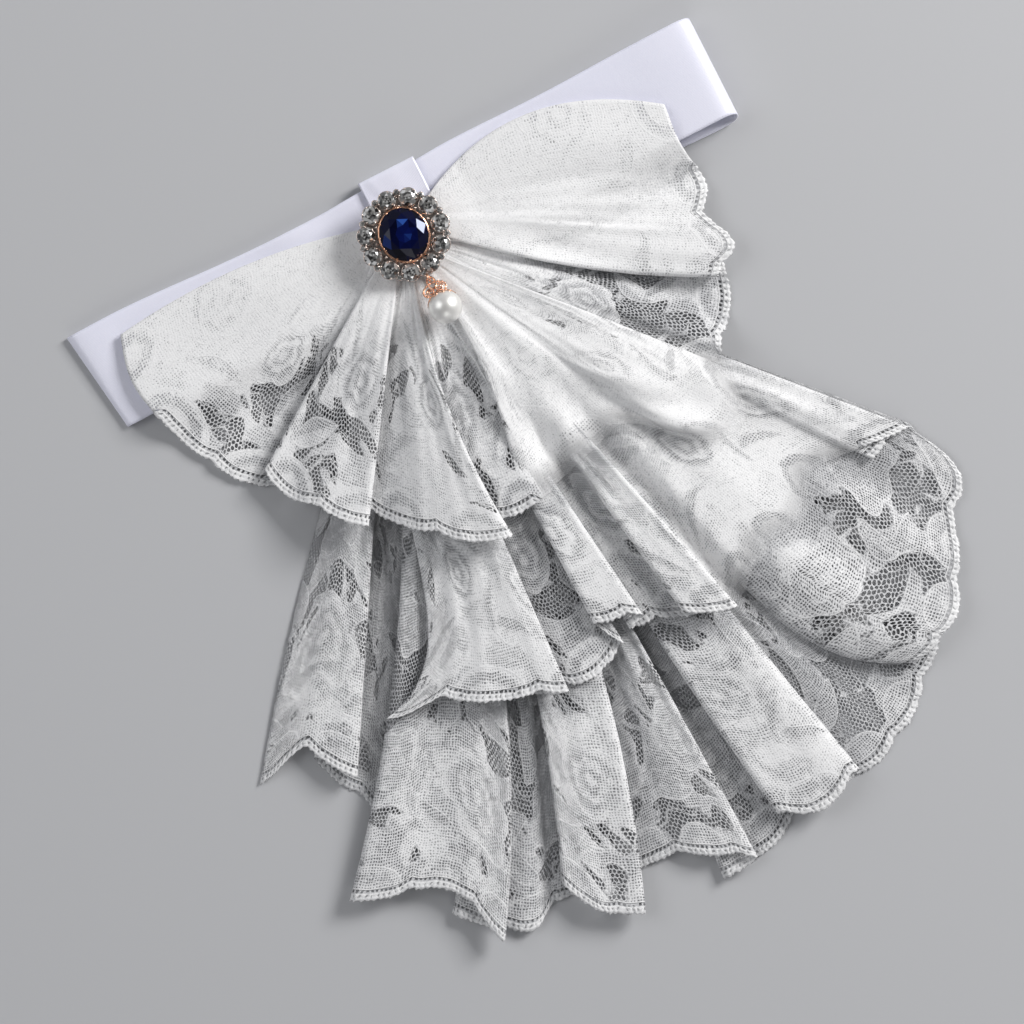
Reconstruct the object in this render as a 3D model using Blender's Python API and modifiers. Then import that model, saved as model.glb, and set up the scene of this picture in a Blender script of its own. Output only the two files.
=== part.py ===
"""A lace jabot collar, laid flat: a satin neck band folded flat as a loop, a satin wrap round its
middle, three tiers of gathered lace frill, and a brooch with a pearl drop.

Frame: +X along the neck band, +Y towards the neck side of the band, +Z up. The origin is on the
surface that the collar lies on, under the middle of the band. The tables and constants are in
millimetres and degrees, and MM turns them into metres where a mesh is made.

A frill is a strip of lace, gathered along one edge. Its folds are the rows of a table. A bearing is
counted from straight down (-Y) towards +X, seen from above, so 90 is along the band to the right.
"""

import math
from typing import NamedTuple

import bmesh
import bpy
import numpy as np

MM = 0.001
WALL = 1.0  # thickness of every cloth wall
SEAM_GAP = 0.3  # between pieces that are sewn or set together
LAY_GAP = 0.6  # between the heights of a frill and of what it lies on

BAND_WIDTH = 29.5
BAND_LEFT_END = -94.0
BAND_RIGHT_END = 97.0
BAND_RIGHT_TOP = 7.6  # height of the wall where the loop's right end stays round

WRAP_LEFT = -5.0
WRAP_RIGHT = 12.0

BROOCH_X, BROOCH_Y = 0.0, -1.9
BROOCH_BASE_Z = 10.0
PLATE_RADIUS = 12.3
PLATE_SCALLOP = 0.7
PLATE_THICKNESS = 1.8
STONE_COUNT = 11
STONE_RING_RADIUS = 10.5
STONE_RADIUS = 2.2
STONE_TABLE_RADIUS = 1.3
STONE_HEIGHT = 1.7
CENTRE_STONE_WIDTH = 12.2
CENTRE_STONE_LENGTH = 14.2
CENTRE_STONE_HEIGHT = 3.6
CENTRE_STONE_TABLE = 0.58  # share of the girdle that the flat top takes
BEZEL_WALL = 0.5
BEZEL_HEIGHT = 1.5

EYE_RADIUS = 1.1  # of the fixed ring on the brooch's lower edge; the pendant turns about its middle
EYE_WIRE = 0.35
HINGE = (0.6, -15.3, 11.8)
LINK_RADIUS = 1.3
LINK_WIRE = 0.4
LINK_STRETCH = 1.45
PEARL = (1.1, -24.8, 16.4)
PEARL_RADIUS = 4.6
CAP_RADIUS = 2.0
CAP_HEIGHT = 0.7


class Fold(NamedTuple):
    """One crease of a frill, from its hem end to its gathered end."""

    bearing: float  # of the hem end, seen from the gather's centre
    reach: float  # of the hem end from the gather's centre
    enter: float  # height of the cloth that comes into the crease, above what it lies on
    leave: float  # height of the cloth that goes on from it: another one where it turns back
    gather: float  # bearing of the gathered end
    bow: float = 0.0  # sideways bulge half way down, towards greater bearings
    flick: float = 0.0  # a second bulge, four fifths of the way down


class Frill(NamedTuple):
    """A gathered strip of lace."""

    name: str
    fan_centre: tuple  # x and y that the folds' bearings and reaches are counted from
    gather_centre: tuple  # x and y of the middle of the gathered edge's arc
    gather_radii: tuple  # of that arc, along X and Y
    rows: int  # of faces from the gather to the hem
    folds: list


UPPER_FOLDS = [
    # bearing, reach, enter, leave, gather, bow, flick
    Fold(-98, 83, 0.2, 0.2, -131, -4),
    Fold(-88, 86, 0.8, 0.8, -116, -2),
    Fold(-78, 83, 1.6, 1.6, -104),
    Fold(-68, 84, 1.2, 1.2, -94),
    Fold(-50, 76, 0.2, 2.4, -80),
    Fold(-58, 76, 2.6, 5.2, -68),
    Fold(-48, 79, 4.6, 4.6, -56),
    Fold(-34, 80, 4.8, 2.4, -36),
    Fold(-44, 78, 2.2, 0.2, -30),
    Fold(-30, 77, 0.6, 0.6, -26),
    Fold(-19, 84, 3.4, 3.4, -20),
    Fold(-7, 88, 5.2, 2.6, -14, -4),
    Fold(-14.5, 84, 2.4, 0.2, -10),
    Fold(3, 81, 0.2, 2.4, -2),
    Fold(-4, 82, 2.6, 4.8, 3, 5),
    Fold(7, 79, 4.6, 4.6, 10),
    Fold(16, 78, 4.2, 4.2, 16),
    Fold(24, 78, 3.8, 3.8, 21),
    Fold(28, 100, 4.6, 4.6, 24),
    Fold(35, 109, 4.2, 4.2, 28),
    Fold(41, 94, 4.6, 2.4, 32),
    Fold(30, 88, 2.2, 0.2, 38, 3),
    Fold(44, 93, 0.2, 0.2, 44),
    Fold(50, 92, 0.2, 0.2, 50),
    Fold(63, 88, 0.2, 2.4, 56),
    Fold(56, 87, 2.6, 4.8, 62, -3),
    Fold(62, 92, 5.6, 5.6, 82),
    Fold(67, 83, 3.6, 3.6, 92),
    Fold(74, 85, 1.6, 1.6, 102),
    Fold(82, 79, 1.0, 1.0, 112, 6),
    Fold(90, 80, 0.2, 0.2, 126, 12),
]

MIDDLE_FOLDS = [
    # bearing, reach, enter, leave, gather, bow, flick
    Fold(-33, 120, 0.4, 0.4, -80, 3, 10),
    Fold(-27, 113, 2.4, 2.4, -66, 3, 6),
    Fold(-20, 114, 3.6, 3.6, -54, 2, 2),
    Fold(-8, 117, 5.0, 2.6, -42),
    Fold(-15, 114, 2.4, 0.2, -34),
    Fold(-6, 117, 0.2, 0.2, -28),
    Fold(1.6, 112, 0.2, 2.4, -22),
    Fold(-1, 102, 2.6, 4.8, -16),
    Fold(6, 107, 5.8, 3.2, -8),
    Fold(3.4, 108, 2.8, 0.4, -2),
    Fold(9, 112, 0.4, 0.4, 4),
    Fold(13.2, 116, 0.4, 2.6, 10),
    Fold(11, 114, 2.8, 5.0, 14),
    Fold(17, 121, 6.0, 3.4, 20),
    Fold(15, 118, 3.0, 0.6, 26),
    Fold(18, 121, 0.8, 0.8, 32),
    Fold(21, 118, 5.0, 5.0, 40, 1),
    Fold(26, 115, 2.6, 2.6, 48),
    Fold(32, 123, 4.6, 4.6, 56),
    Fold(37, 114, 2.2, 2.2, 64),
    Fold(42, 124, 4.4, 4.4, 72),
    Fold(47, 137, 4.4, 2.2, 80),
    Fold(42, 130, 1.8, 1.8, 88),
]

LOWER_FOLDS = [
    # bearing, reach, enter, leave, gather, bow, flick
    Fold(-46, 146, 0.0, 0.0, -84, -3),
    Fold(-43, 131, 4.2, 4.2, -78),
    Fold(-39, 134, 4.4, 4.4, -73),
    Fold(-35.5, 136, 5.0, 2.6, -68),
    Fold(-41, 134, 2.4, 0.0, -64, 3),
    Fold(-29, 150, 0.0, 2.2, -60, 1),
    Fold(-34.5, 170, 2.4, 4.6, -56, 8),
    Fold(-30, 168, 5.2, 5.2, -50, 7),
    Fold(-25, 163, 4.6, 4.6, -46, 9),
    Fold(-20.5, 181, 5.6, 3.2, -42, 12),
    Fold(-25, 172, 2.6, 0.2, -38, 12),
    Fold(-18, 181, 1.8, 1.8, -34, 12),
    Fold(-16, 174, 0.0, 0.0, -30, 10),
    Fold(-12.3, 170, 0.0, 2.4, -26, 9),
    Fold(-14.5, 168, 2.6, 5.0, -22, 7),
    Fold(-11, 181, 5.2, 5.2, -16, 8),
    Fold(-8, 182, 5.6, 3.0, -10, 12),
    Fold(-10.5, 172, 2.8, 0.4, -7, 12),
    Fold(-5.5, 169, 0.3, 0.3, -4, 8),
    Fold(-1.5, 172, 4.0, 4.0, 0, 4),
    Fold(3, 181, 5.0, 2.6, 5, 1),
    Fold(-0.5, 182, 2.4, 0.2, 9, 3),
    Fold(4, 181, 0.2, 0.2, 12),
    Fold(9.5, 176, 0.2, 2.4, 16),
    Fold(6.5, 174, 2.6, 5.0, 20, -3),
    Fold(10, 180, 5.4, 5.4, 26),
    Fold(14.8, 178, 5.4, 2.8, 32),
    Fold(11.5, 178, 2.6, 0.2, 36),
    Fold(19, 181, 0.0, 0.0, 42, -4),
    Fold(31, 168, 0.0, 2.2, 48, -10, -6),
    Fold(25.5, 168, 2.4, 4.8, 54, -6, -12),
    Fold(29.5, 172, 5.4, 5.4, 60, -4, -7),
    Fold(34, 168, 3.4, 3.4, 66, -2, -2),
    Fold(39, 158, 0.8, 0.8, 72),
    Fold(44, 157, 1.2, 1.2, 78),
    Fold(47.5, 137, 0.2, 0.2, 84),
]

UPPER = Frill("upper_frill", (0.0, -2.0), (0.0, -2.0), (11.0, 10.5), 8, UPPER_FOLDS)
MIDDLE = Frill("middle_frill", (0.0, -18.0), (0.0, -16.6), (14.0, 0.5), 8, MIDDLE_FOLDS)
LOWER = Frill("lower_frill", (0.0, -18.0), (0.0, -16.6), (14.0, 0.5), 10, LOWER_FOLDS)

GATHER_LIFT = 0.35  # share of a fold's height that is left at the gathered edge
FULL_LIFT_AT = 0.5  # share of the way down where a fold has its whole height
ROW_CROWDING = 1.4  # rows of faces are closer near the gather
TURN_LENGTH = 3.0  # stretch beside a turned edge that bends with it


class BandRow(NamedTuple):
    """A section of the flattened neck loop."""

    x: float
    lower: float  # height of the middle of the lower wall
    upper: float  # height of the middle of the upper wall
    sway: float  # how far the band wanders towards +Y


BAND_ROWS = [
    BandRow(-91, 0.5, 2.4, 1.0),
    BandRow(-74, 0.5, 2.4, 1.4),
    BandRow(-42, 0.5, 2.8, -0.6),
    BandRow(-18, 0.6, 3.3, -0.6),
    BandRow(-9, 1.9, 3.6, 0.0),
    BandRow(3, 1.9, 3.6, 0.4),
    BandRow(15, 1.9, 3.6, 1.4),
    BandRow(25, 0.6, 3.6, 1.9),
    BandRow(50, 0.5, 4.2, 1.4),
    BandRow(72, 0.5, 5.8, 0.8),
    BandRow(86, 0.5, BAND_RIGHT_TOP, 0.2),
]
BAND_COLUMNS = 3  # of faces across the ribbon
BAND_END_SKEW = 2.0  # how far the left end's upper corner runs past its lower one, each way


# Curves and surfaces.


def spline(controls, places):
    """Points of the uniform quadratic B-spline through the control rows.

    Place i + u, with u from 0 to 1, lies on the span round control row i, from the middle of the leg
    before it to the middle of the leg after it. The first and last rows are reached exactly.
    """
    first = 2 * controls[:1] - controls[1:2]
    last = 2 * controls[-1:] - controls[-2:-1]
    padded = np.vstack([first, controls, last])
    span = np.minimum(places.astype(int), len(controls) - 1)
    u = (places - span)[:, None]
    before, here, after = padded[span], padded[span + 1], padded[span + 2]
    return 0.5 * ((1 - u) ** 2 * before + (1 + 2 * u - 2 * u**2) * here + u**2 * after)


def bilinear(heights, column, row):
    """Heights between a grid's points."""
    i = np.clip(column.astype(int), 0, heights.shape[0] - 2)
    j = np.clip(row.astype(int), 0, heights.shape[1] - 2)
    u, v = np.clip(column - i, 0, 1), np.clip(row - j, 0, 1)
    near = heights[i, j] * (1 - u) + heights[i + 1, j] * u
    far = heights[i, j + 1] * (1 - u) + heights[i + 1, j + 1] * u
    return near * (1 - v) + far * v


class Pile:
    """How high the next layer of cloth has to lie, on a grid over the whole collar."""

    CELL = 2.0
    CORNER = (-120.0, -216.0)
    CELLS = (124, 124)
    BRIDGE = 2  # cells that the next layer reaches out past what it lies on

    def __init__(self):
        self.heights = np.full(self.CELLS, WALL / 2)
        self.smooth = self.heights

    def place(self, x, y):
        """Grid coordinates of points."""
        return (x - self.CORNER[0]) / self.CELL, (y - self.CORNER[1]) / self.CELL

    def add(self, grid):
        """Lays a wall, given by the points of its middle surface, on the pile."""
        rows, columns = grid.shape[:2]
        fine_rows = np.linspace(0, rows - 1, rows * 12)
        fine_columns = np.linspace(0, columns - 1, columns * 12)
        r, c = np.meshgrid(fine_rows, fine_columns, indexing="ij")
        x, y, z = (bilinear(grid[..., axis], r, c) for axis in range(3))
        i, j = (np.rint(place).astype(int) for place in self.place(x, y))
        np.maximum.at(self.heights, (i, j), z + WALL + LAY_GAP)
        self.smooth = self.spread(np.max, self.heights)
        self.smooth = self.spread(np.mean, self.smooth)

    def spread(self, combine, heights):
        """Each cell with its neighbours out to BRIDGE cells, combined."""
        reach = self.BRIDGE
        wide = np.pad(heights, reach, mode="edge")
        nx, ny = heights.shape
        steps = range(2 * reach + 1)
        return combine([wide[i : i + nx, j : j + ny] for i in steps for j in steps], axis=0)

    def height(self, x, y):
        """Lowest height of the middle of a wall that lies here."""
        return bilinear(self.smooth, *self.place(x, y))


def polar(centre, radii, bearing):
    """Points at bearings round a centre."""
    angle = np.radians(bearing)
    return np.stack([centre[0] + radii[0] * np.sin(angle), centre[1] - radii[1] * np.cos(angle)], -1)


def crease_rows(frill):
    """Control rows (bearing, reach, lift, gather, bow, flick) of a frill's cross-section, and the places
    of the columns of points along them. A soft crease is one row. A turned edge is four: the cloth
    comes in, turns, and goes back on another level."""
    folds = frill.folds
    plain = [np.array([f.bearing, f.reach, f.enter, f.gather, f.bow, f.flick]) for f in folds]
    rows, places = [], [0.5]
    for i, fold in enumerate(folds):
        here = plain[i]
        if fold.enter == fold.leave:
            places += [len(rows), len(rows) + 0.5] if i else []
            rows.append(here)
            continue
        level = np.array([0, 0, fold.leave - fold.enter, 0, 0, 0])
        ends = polar(frill.fan_centre, (1, 1), np.array([row[0] for row in plain[i - 1 : i + 2]]))
        ends = np.array(frill.fan_centre) + (ends - frill.fan_centre) * [[r[1]] for r in plain[i - 1 : i + 2]]
        back, ahead = (min(0.4, TURN_LENGTH / math.dist(ends[1], ends[k])) for k in (0, 2))
        came = plain[i - 1] + np.array([0, 0, folds[i - 1].leave - folds[i - 1].enter, 0, 0, 0])
        rows += [here + (came - here) * back, here, here + level]
        rows.append(here + level + (plain[i + 1] - here - level) * ahead)
        places += [len(rows) - back for back in (3.5, 2.5, 2.0, 1.5, 0.5)]
    return np.array(rows), np.array(places)


def frill_grid(frill, pile):
    """Points of a frill's middle surface, rows from the gathered edge to the hem.

    Each column runs from the gathered edge to the hem in a straight line that its bow bends sideways,
    and its height is the pile's height plus the fold's lift, which grows down from the gather.
    """
    controls, places = crease_rows(frill)
    bearing, reach, lift, gather, bow, flick = spline(controls, places).T
    gathered = polar(frill.gather_centre, frill.gather_radii, gather)
    angle = np.radians(bearing)
    hem = np.array(frill.fan_centre) + reach[:, None] * np.stack([np.sin(angle), -np.cos(angle)], -1)
    down = (np.linspace(0, 1, frill.rows + 1) ** ROW_CROWDING)[:, None, None]
    sideways = np.stack([np.cos(angle), np.sin(angle)], -1)
    bulge = bow[:, None] * down * (1 - down) / 0.25 + flick[:, None] * down**4 * (1 - down) / 0.08192
    plan = gathered + (hem - gathered) * down + sideways * bulge
    ramp = np.clip(down[..., 0] / FULL_LIFT_AT, 0, 1)
    share = GATHER_LIFT + (1 - GATHER_LIFT) * ramp * ramp * (3 - 2 * ramp)
    height = pile.height(plan[..., 0], plan[..., 1]) + lift * share
    return np.dstack([plan, height])


def band_grid():
    """Points of the neck loop's middle surface: rows round the loop, columns across the ribbon."""
    lower = [(row.x, row.lower, row.sway) for row in BAND_ROWS]
    upper = [(row.x, row.upper, row.sway) for row in reversed(BAND_ROWS)]
    right, left = BAND_RIGHT_END, BAND_LEFT_END
    first, last = BAND_ROWS[0], BAND_ROWS[-1]
    right_end = [(right, last.lower, last.sway), (right, last.upper + 0.4, last.sway)]
    left_end = [(left, first.upper, first.sway), (left, first.lower, first.sway)]
    loop = np.array(lower + right_end + upper + left_end)
    controls = np.vstack([loop[-1:], loop, loop[:1]])
    places = np.arange(2, 2 * len(loop) + 2) / 2
    x, z, sway = spline(controls, places).T
    across = np.linspace(-1, 1, BAND_COLUMNS + 1)
    skew = np.where(x < 0, x / left, 0)[:, None] * BAND_END_SKEW * across
    y = sway[:, None] + across * BAND_WIDTH / 2
    return np.dstack([x[:, None] - skew, y, np.broadcast_to(z[:, None], y.shape)])


def wrap_grid():
    """Points of the centre wrap's middle surface: a flat ring round the band, rows round it."""
    low, high = WALL / 2, BAND_ROWS[5].upper + WALL + SEAM_GAP
    near = BAND_ROWS[4].sway - BAND_WIDTH / 2 - WALL / 2 - SEAM_GAP
    far = BAND_ROWS[6].sway + BAND_WIDTH / 2 + WALL / 2 + SEAM_GAP
    middle = (low + high) / 2
    ring = [(near + 1, low), (near + 3, low), (far - 3, low), (far - 1, low)]
    ring += [(far, low + 0.6), (far, middle), (far, high - 0.6), (far - 1, high)]
    ring += [(near + 1, high), (near, high - 0.6), (near, middle), (near, low + 0.6)]
    y, z = np.array(ring).T
    x = np.array([WRAP_LEFT, WRAP_RIGHT])
    return np.dstack([np.broadcast_to(x, (len(y), 2)), *(np.tile(v[:, None], 2) for v in (y, z))])


def collar_layers():
    """Name, grid and whether its rows close, for each cloth piece, from the surface up.

    The two lower frills lie beside the band, sewn to the wrap's lower edge. The upper frill lies on
    the band, the wrap and the other two.
    """
    pile = Pile()
    layers = []
    for frill in (LOWER, MIDDLE):
        layers.append((frill.name, frill_grid(frill, pile), False))
        pile.add(layers[-1][1])
    for name, ring in (("neck_band", band_grid()), ("centre_wrap", wrap_grid())):
        layers.append((name, ring, True))
        pile.add(np.vstack([ring, ring[:1]]))
    layers.append((UPPER.name, frill_grid(UPPER, pile), False))
    return layers


# Blender objects.


def start_empty():
    """Clears the scene and makes the collar's collection."""
    for old in list(bpy.data.objects):
        bpy.data.objects.remove(old, do_unlink=True)
    collection = bpy.data.collections.new("lace_jabot_collar")
    bpy.context.scene.collection.children.link(collection)
    return collection


def material(name, colour, roughness, metallic=0.0, transmission=0.0):
    """A Principled material."""
    made = bpy.data.materials.new(name)
    made.use_nodes = True
    shader = made.node_tree.nodes["Principled BSDF"]
    shader.inputs["Base Color"].default_value = (*colour, 1.0)
    shader.inputs["Roughness"].default_value = roughness
    shader.inputs["Metallic"].default_value = metallic
    shader.inputs["Transmission Weight"].default_value = transmission
    return made


def add_object(collection, name, mesh, finish):
    """An object of the collar, with its material."""
    mesh.materials.append(finish)
    made = bpy.data.objects.new(name, mesh)
    collection.objects.link(made)
    return made


def cloth(collection, name, grid, finish, closed=False):
    """A cloth wall: the grid as an open surface, or as a ring of rows, with its thickness."""
    rows, columns = grid.shape[:2]
    row = np.arange(rows if closed else rows - 1)[:, None]
    column = np.arange(columns - 1)[None, :]
    here, below = row * columns + column, (row + 1) % rows * columns + column
    faces = np.stack([here, below, below + 1, here + 1], -1).reshape(-1, 4)
    mesh = bpy.data.meshes.new(name)
    mesh.from_pydata((grid.reshape(-1, 3) * MM).tolist(), [], faces.tolist())
    mesh.shade_smooth()
    made = add_object(collection, name, mesh, finish)
    wall = made.modifiers.new("wall", "SOLIDIFY")
    wall.thickness = WALL * MM
    wall.offset = 0.0
    return made


def turned(collection, name, profile, steps, finish, place=(0, 0, 0), stretch=1.0, tilt=0.0, turn=0.0):
    """A turned piece: a profile of (radius, height) rows, outer side from top to bottom, screwed round Z,
    then stretched along Y, tilted about X, turned about Z and set in its place."""
    mesh = bpy.data.meshes.new(name)
    points = [(radius * MM, 0, height * MM) for radius, height in profile]
    mesh.from_pydata(points, [(i, i + 1) for i in range(len(points) - 1)], [])
    made = add_object(collection, name, mesh, finish)
    made.location = [value * MM for value in place]
    made.rotation_euler = (tilt, 0, turn)
    made.scale.y = stretch
    screw = made.modifiers.new("turn", "SCREW")
    screw.steps = screw.render_steps = steps
    screw.use_merge_vertices = True
    screw.merge_threshold = 1e-5
    screw.use_smooth_shade = False
    return made


def brooch_plate(collection, finish):
    """The plate behind the stones: a flat outline with a scallop round each stone."""
    count = 8 * STONE_COUNT
    curve = bpy.data.curves.new("brooch_plate", "CURVE")
    curve.dimensions, curve.fill_mode = "2D", "BOTH"
    curve.extrude = PLATE_THICKNESS / 2 * MM
    outline = curve.splines.new("POLY")
    outline.points.add(count - 1)
    outline.use_cyclic_u = True
    for i, point in enumerate(outline.points):
        angle = math.tau * i / count
        radius = PLATE_RADIUS + PLATE_SCALLOP * math.cos(STONE_COUNT * (angle - math.pi / 2))
        point.co = (radius * math.cos(angle) * MM, radius * math.sin(angle) * MM, 0, 1)
    made = add_object(collection, "brooch_plate", curve, finish)
    made.location = (BROOCH_X * MM, BROOCH_Y * MM, (BROOCH_BASE_Z + PLATE_THICKNESS / 2) * MM)
    return made


def cut_stone(collection, name, girdle, table, height, place, finish, stretch=1.0, steps=10):
    """A faceted stone: a short girdle, a crown that narrows to a flat table, and a flat back."""
    profile = [(0, height), (table, height), (girdle, 0.4 * height), (girdle, 0.15 * height)]
    profile += [(0.8 * girdle, 0), (0, 0)]
    return turned(collection, name, profile, steps, finish, place, stretch)


def brooch(collection, gold, crystal, blue):
    """The brooch: plate, ring of stones, bezel, centre stone and the eye that holds the pendant."""
    brooch_plate(collection, gold)
    top = BROOCH_BASE_Z + PLATE_THICKNESS + SEAM_GAP
    stretch = CENTRE_STONE_LENGTH / CENTRE_STONE_WIDTH
    centre = (BROOCH_X, BROOCH_Y, top)
    radius = CENTRE_STONE_WIDTH / 2
    table = radius * CENTRE_STONE_TABLE
    cut_stone(collection, "centre_stone", radius, table, CENTRE_STONE_HEIGHT, centre, blue, stretch, 20)
    inner = radius + SEAM_GAP
    outer = inner + BEZEL_WALL
    bezel = [(inner, 0), (inner, BEZEL_HEIGHT), (outer, BEZEL_HEIGHT), (outer, 0), (inner, 0)]
    turned(collection, "bezel", bezel, 28, gold, centre, stretch)
    for i in range(STONE_COUNT):
        angle = math.pi / 2 + math.tau * i / STONE_COUNT
        x = BROOCH_X + STONE_RING_RADIUS * math.cos(angle)
        y = BROOCH_Y + STONE_RING_RADIUS * math.sin(angle)
        name = f"rhinestone_{i + 1:02d}"
        cut_stone(collection, name, STONE_RADIUS, STONE_TABLE_RADIUS, STONE_HEIGHT, (x, y, top), crystal)
    eye = wire_ring(EYE_RADIUS, EYE_WIRE)
    turned(collection, "pendant_eye", eye, 16, gold, HINGE, tilt=math.pi / 2, turn=math.pi / 2)


def wire_ring(radius, wire):
    """Profile of a round wire, screwed into a ring."""
    return [
        (radius + wire * math.cos(a), wire * math.sin(a)) for a in np.linspace(0, -math.tau, 9)
    ]


def pendant(collection, gold, nacre):
    """The pearl drop, on the hinge in the brooch's eye: a link, a cap and the pearl, in one line that
    rises from the eye over the cloth."""
    hinge = bpy.data.objects.new("pendant_hinge", None)
    hinge.location = [value * MM for value in HINGE]
    collection.objects.link(hinge)
    drop = np.subtract(PEARL, HINGE)
    length = np.linalg.norm(drop)
    rise = math.atan2(drop[2], -drop[1])
    link_centre = np.add(HINGE, drop / length * LINK_RADIUS * LINK_STRETCH)
    ring = wire_ring(LINK_RADIUS, LINK_WIRE)
    link = turned(collection, "link", ring, 16, gold, link_centre, LINK_STRETCH, tilt=-rise)
    profile = [(0, CAP_HEIGHT), (0.4 * CAP_RADIUS, CAP_HEIGHT), (CAP_RADIUS, 0.1)]
    profile += [(CAP_RADIUS, -0.3), (0.75 * CAP_RADIUS, 0), (0, 0)]
    cap_centre = np.add(HINGE, drop * (1 - (PEARL_RADIUS + SEAM_GAP) / length))
    cap = turned(collection, "pearl_cap", profile, 12, gold, cap_centre, tilt=-math.pi / 2 - rise)
    mesh = bpy.data.meshes.new("pearl")
    shape = bmesh.new()
    bmesh.ops.create_uvsphere(shape, u_segments=20, v_segments=12, radius=PEARL_RADIUS * MM)
    shape.to_mesh(mesh)
    shape.free()
    mesh.shade_smooth()
    pearl = add_object(collection, "pearl", mesh, nacre)
    pearl.location = [value * MM for value in PEARL]
    bpy.context.view_layer.update()
    for piece in (link, cap, pearl):
        piece.parent = hinge
        piece.matrix_parent_inverse = hinge.matrix_world.inverted()


def main():
    """Builds the collar from the surface up, each layer on the one below."""
    collection = start_empty()
    satin = material("satin", (0.78, 0.79, 0.88), 0.35)
    lace = material("lace", (0.82, 0.82, 0.84), 0.8)
    gold = material("rose_gold", (0.78, 0.45, 0.32), 0.25, metallic=1.0)
    crystal = material("crystal", (0.85, 0.87, 0.9), 0.05)
    blue = material("blue_stone", (0.01, 0.02, 0.12), 0.04)
    nacre = material("pearl", (0.85, 0.84, 0.8), 0.2)

    for name, grid, closed in collar_layers():
        cloth(collection, name, grid, satin if closed else lace, closed)
    brooch(collection, gold, crystal, blue)
    pendant(collection, gold, nacre)


main()
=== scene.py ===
"""The looks of a lace jabot collar that lies flat: a satin neck band folded as a loop, a satin wrap,
three gathered tiers of floral lace, and a jewelled brooch with a pearl drop.

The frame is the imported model's: +X along the neck band, +Y towards its neck side, +Z up. Tables and
sizes are in millimetres and degrees; MM turns them into metres where a mesh is made.

The cloth repeats the solids' own tables of folds, sampled finely. A bearing is counted from straight
down (-Y) towards +X, seen from above.
"""

from __future__ import annotations

import logging
import math
from dataclasses import dataclass, field
from enum import Enum
from typing import Callable, NamedTuple, Sequence

import bpy
import numpy as np
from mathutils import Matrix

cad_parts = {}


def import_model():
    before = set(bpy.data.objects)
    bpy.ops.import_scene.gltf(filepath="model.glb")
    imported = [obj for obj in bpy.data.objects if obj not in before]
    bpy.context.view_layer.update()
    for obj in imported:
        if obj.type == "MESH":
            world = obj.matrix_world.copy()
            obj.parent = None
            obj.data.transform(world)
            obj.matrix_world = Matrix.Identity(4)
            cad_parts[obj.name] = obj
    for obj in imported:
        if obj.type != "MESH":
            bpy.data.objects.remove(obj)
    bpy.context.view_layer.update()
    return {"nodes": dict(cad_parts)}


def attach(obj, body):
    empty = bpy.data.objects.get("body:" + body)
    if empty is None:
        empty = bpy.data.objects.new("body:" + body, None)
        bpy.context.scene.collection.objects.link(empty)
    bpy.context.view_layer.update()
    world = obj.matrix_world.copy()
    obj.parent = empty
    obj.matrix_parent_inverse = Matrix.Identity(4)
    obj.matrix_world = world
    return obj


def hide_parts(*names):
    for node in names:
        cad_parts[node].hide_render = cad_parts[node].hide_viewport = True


log = logging.getLogger("lace_collar")

Array = np.ndarray
Finish = bpy.types.Material
Piece = bpy.types.Object
Socket = bpy.types.NodeSocket
Colour = tuple[float, float, float]

MM = 0.001
STRIP_UNIT = 100.0  # millimetres to one unit of a strip's UV map

MIX_NUMBERS = (0, 2, 3)  # a Mix node's inputs for its share and two numbers
MIX_COLOURS = (6, 7)  # and for two colours
MIX_COLOUR_OUT = 2


# Node graphs and meshes.


class Term:
    """A number in a material's node graph, which takes part in formulas."""

    def __init__(self, graph: Graph, socket: Socket) -> None:
        """Wraps a node's output."""
        self.graph, self.socket = graph, socket

    def _with(self, operation: str, *others: Term | float) -> Term:
        """A Math node on this term and others."""
        return self.graph.math(operation, self, *others)

    def __add__(self, other: Term | float) -> Term:
        """Sum."""
        return self._with("ADD", other)

    def __sub__(self, other: Term | float) -> Term:
        """Difference."""
        return self._with("SUBTRACT", other)

    def __mul__(self, other: Term | float) -> Term:
        """Product."""
        return self._with("MULTIPLY", other)

    def __rsub__(self, other: float) -> Term:
        """A number minus this term."""
        return self.graph.math("SUBTRACT", other, self)

    def size(self) -> Term:
        """Absolute value."""
        return self._with("ABSOLUTE")

    def least(self, other: Term | float) -> Term:
        """The smaller of two."""
        return self._with("MINIMUM", other)

    def most(self, other: Term | float) -> Term:
        """The larger of two."""
        return self._with("MAXIMUM", other)

    def wave(self, pitch: float) -> Term:
        """Cosine wave of a pitch, in the term's own unit."""
        return (self * (math.tau / pitch))._with("COSINE")

    def rises(self, low: float, high: float) -> Term:
        """Smooth step from 0 at low to 1 at high. With high below low it falls."""
        return self.graph.step(self, low, high)


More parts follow.
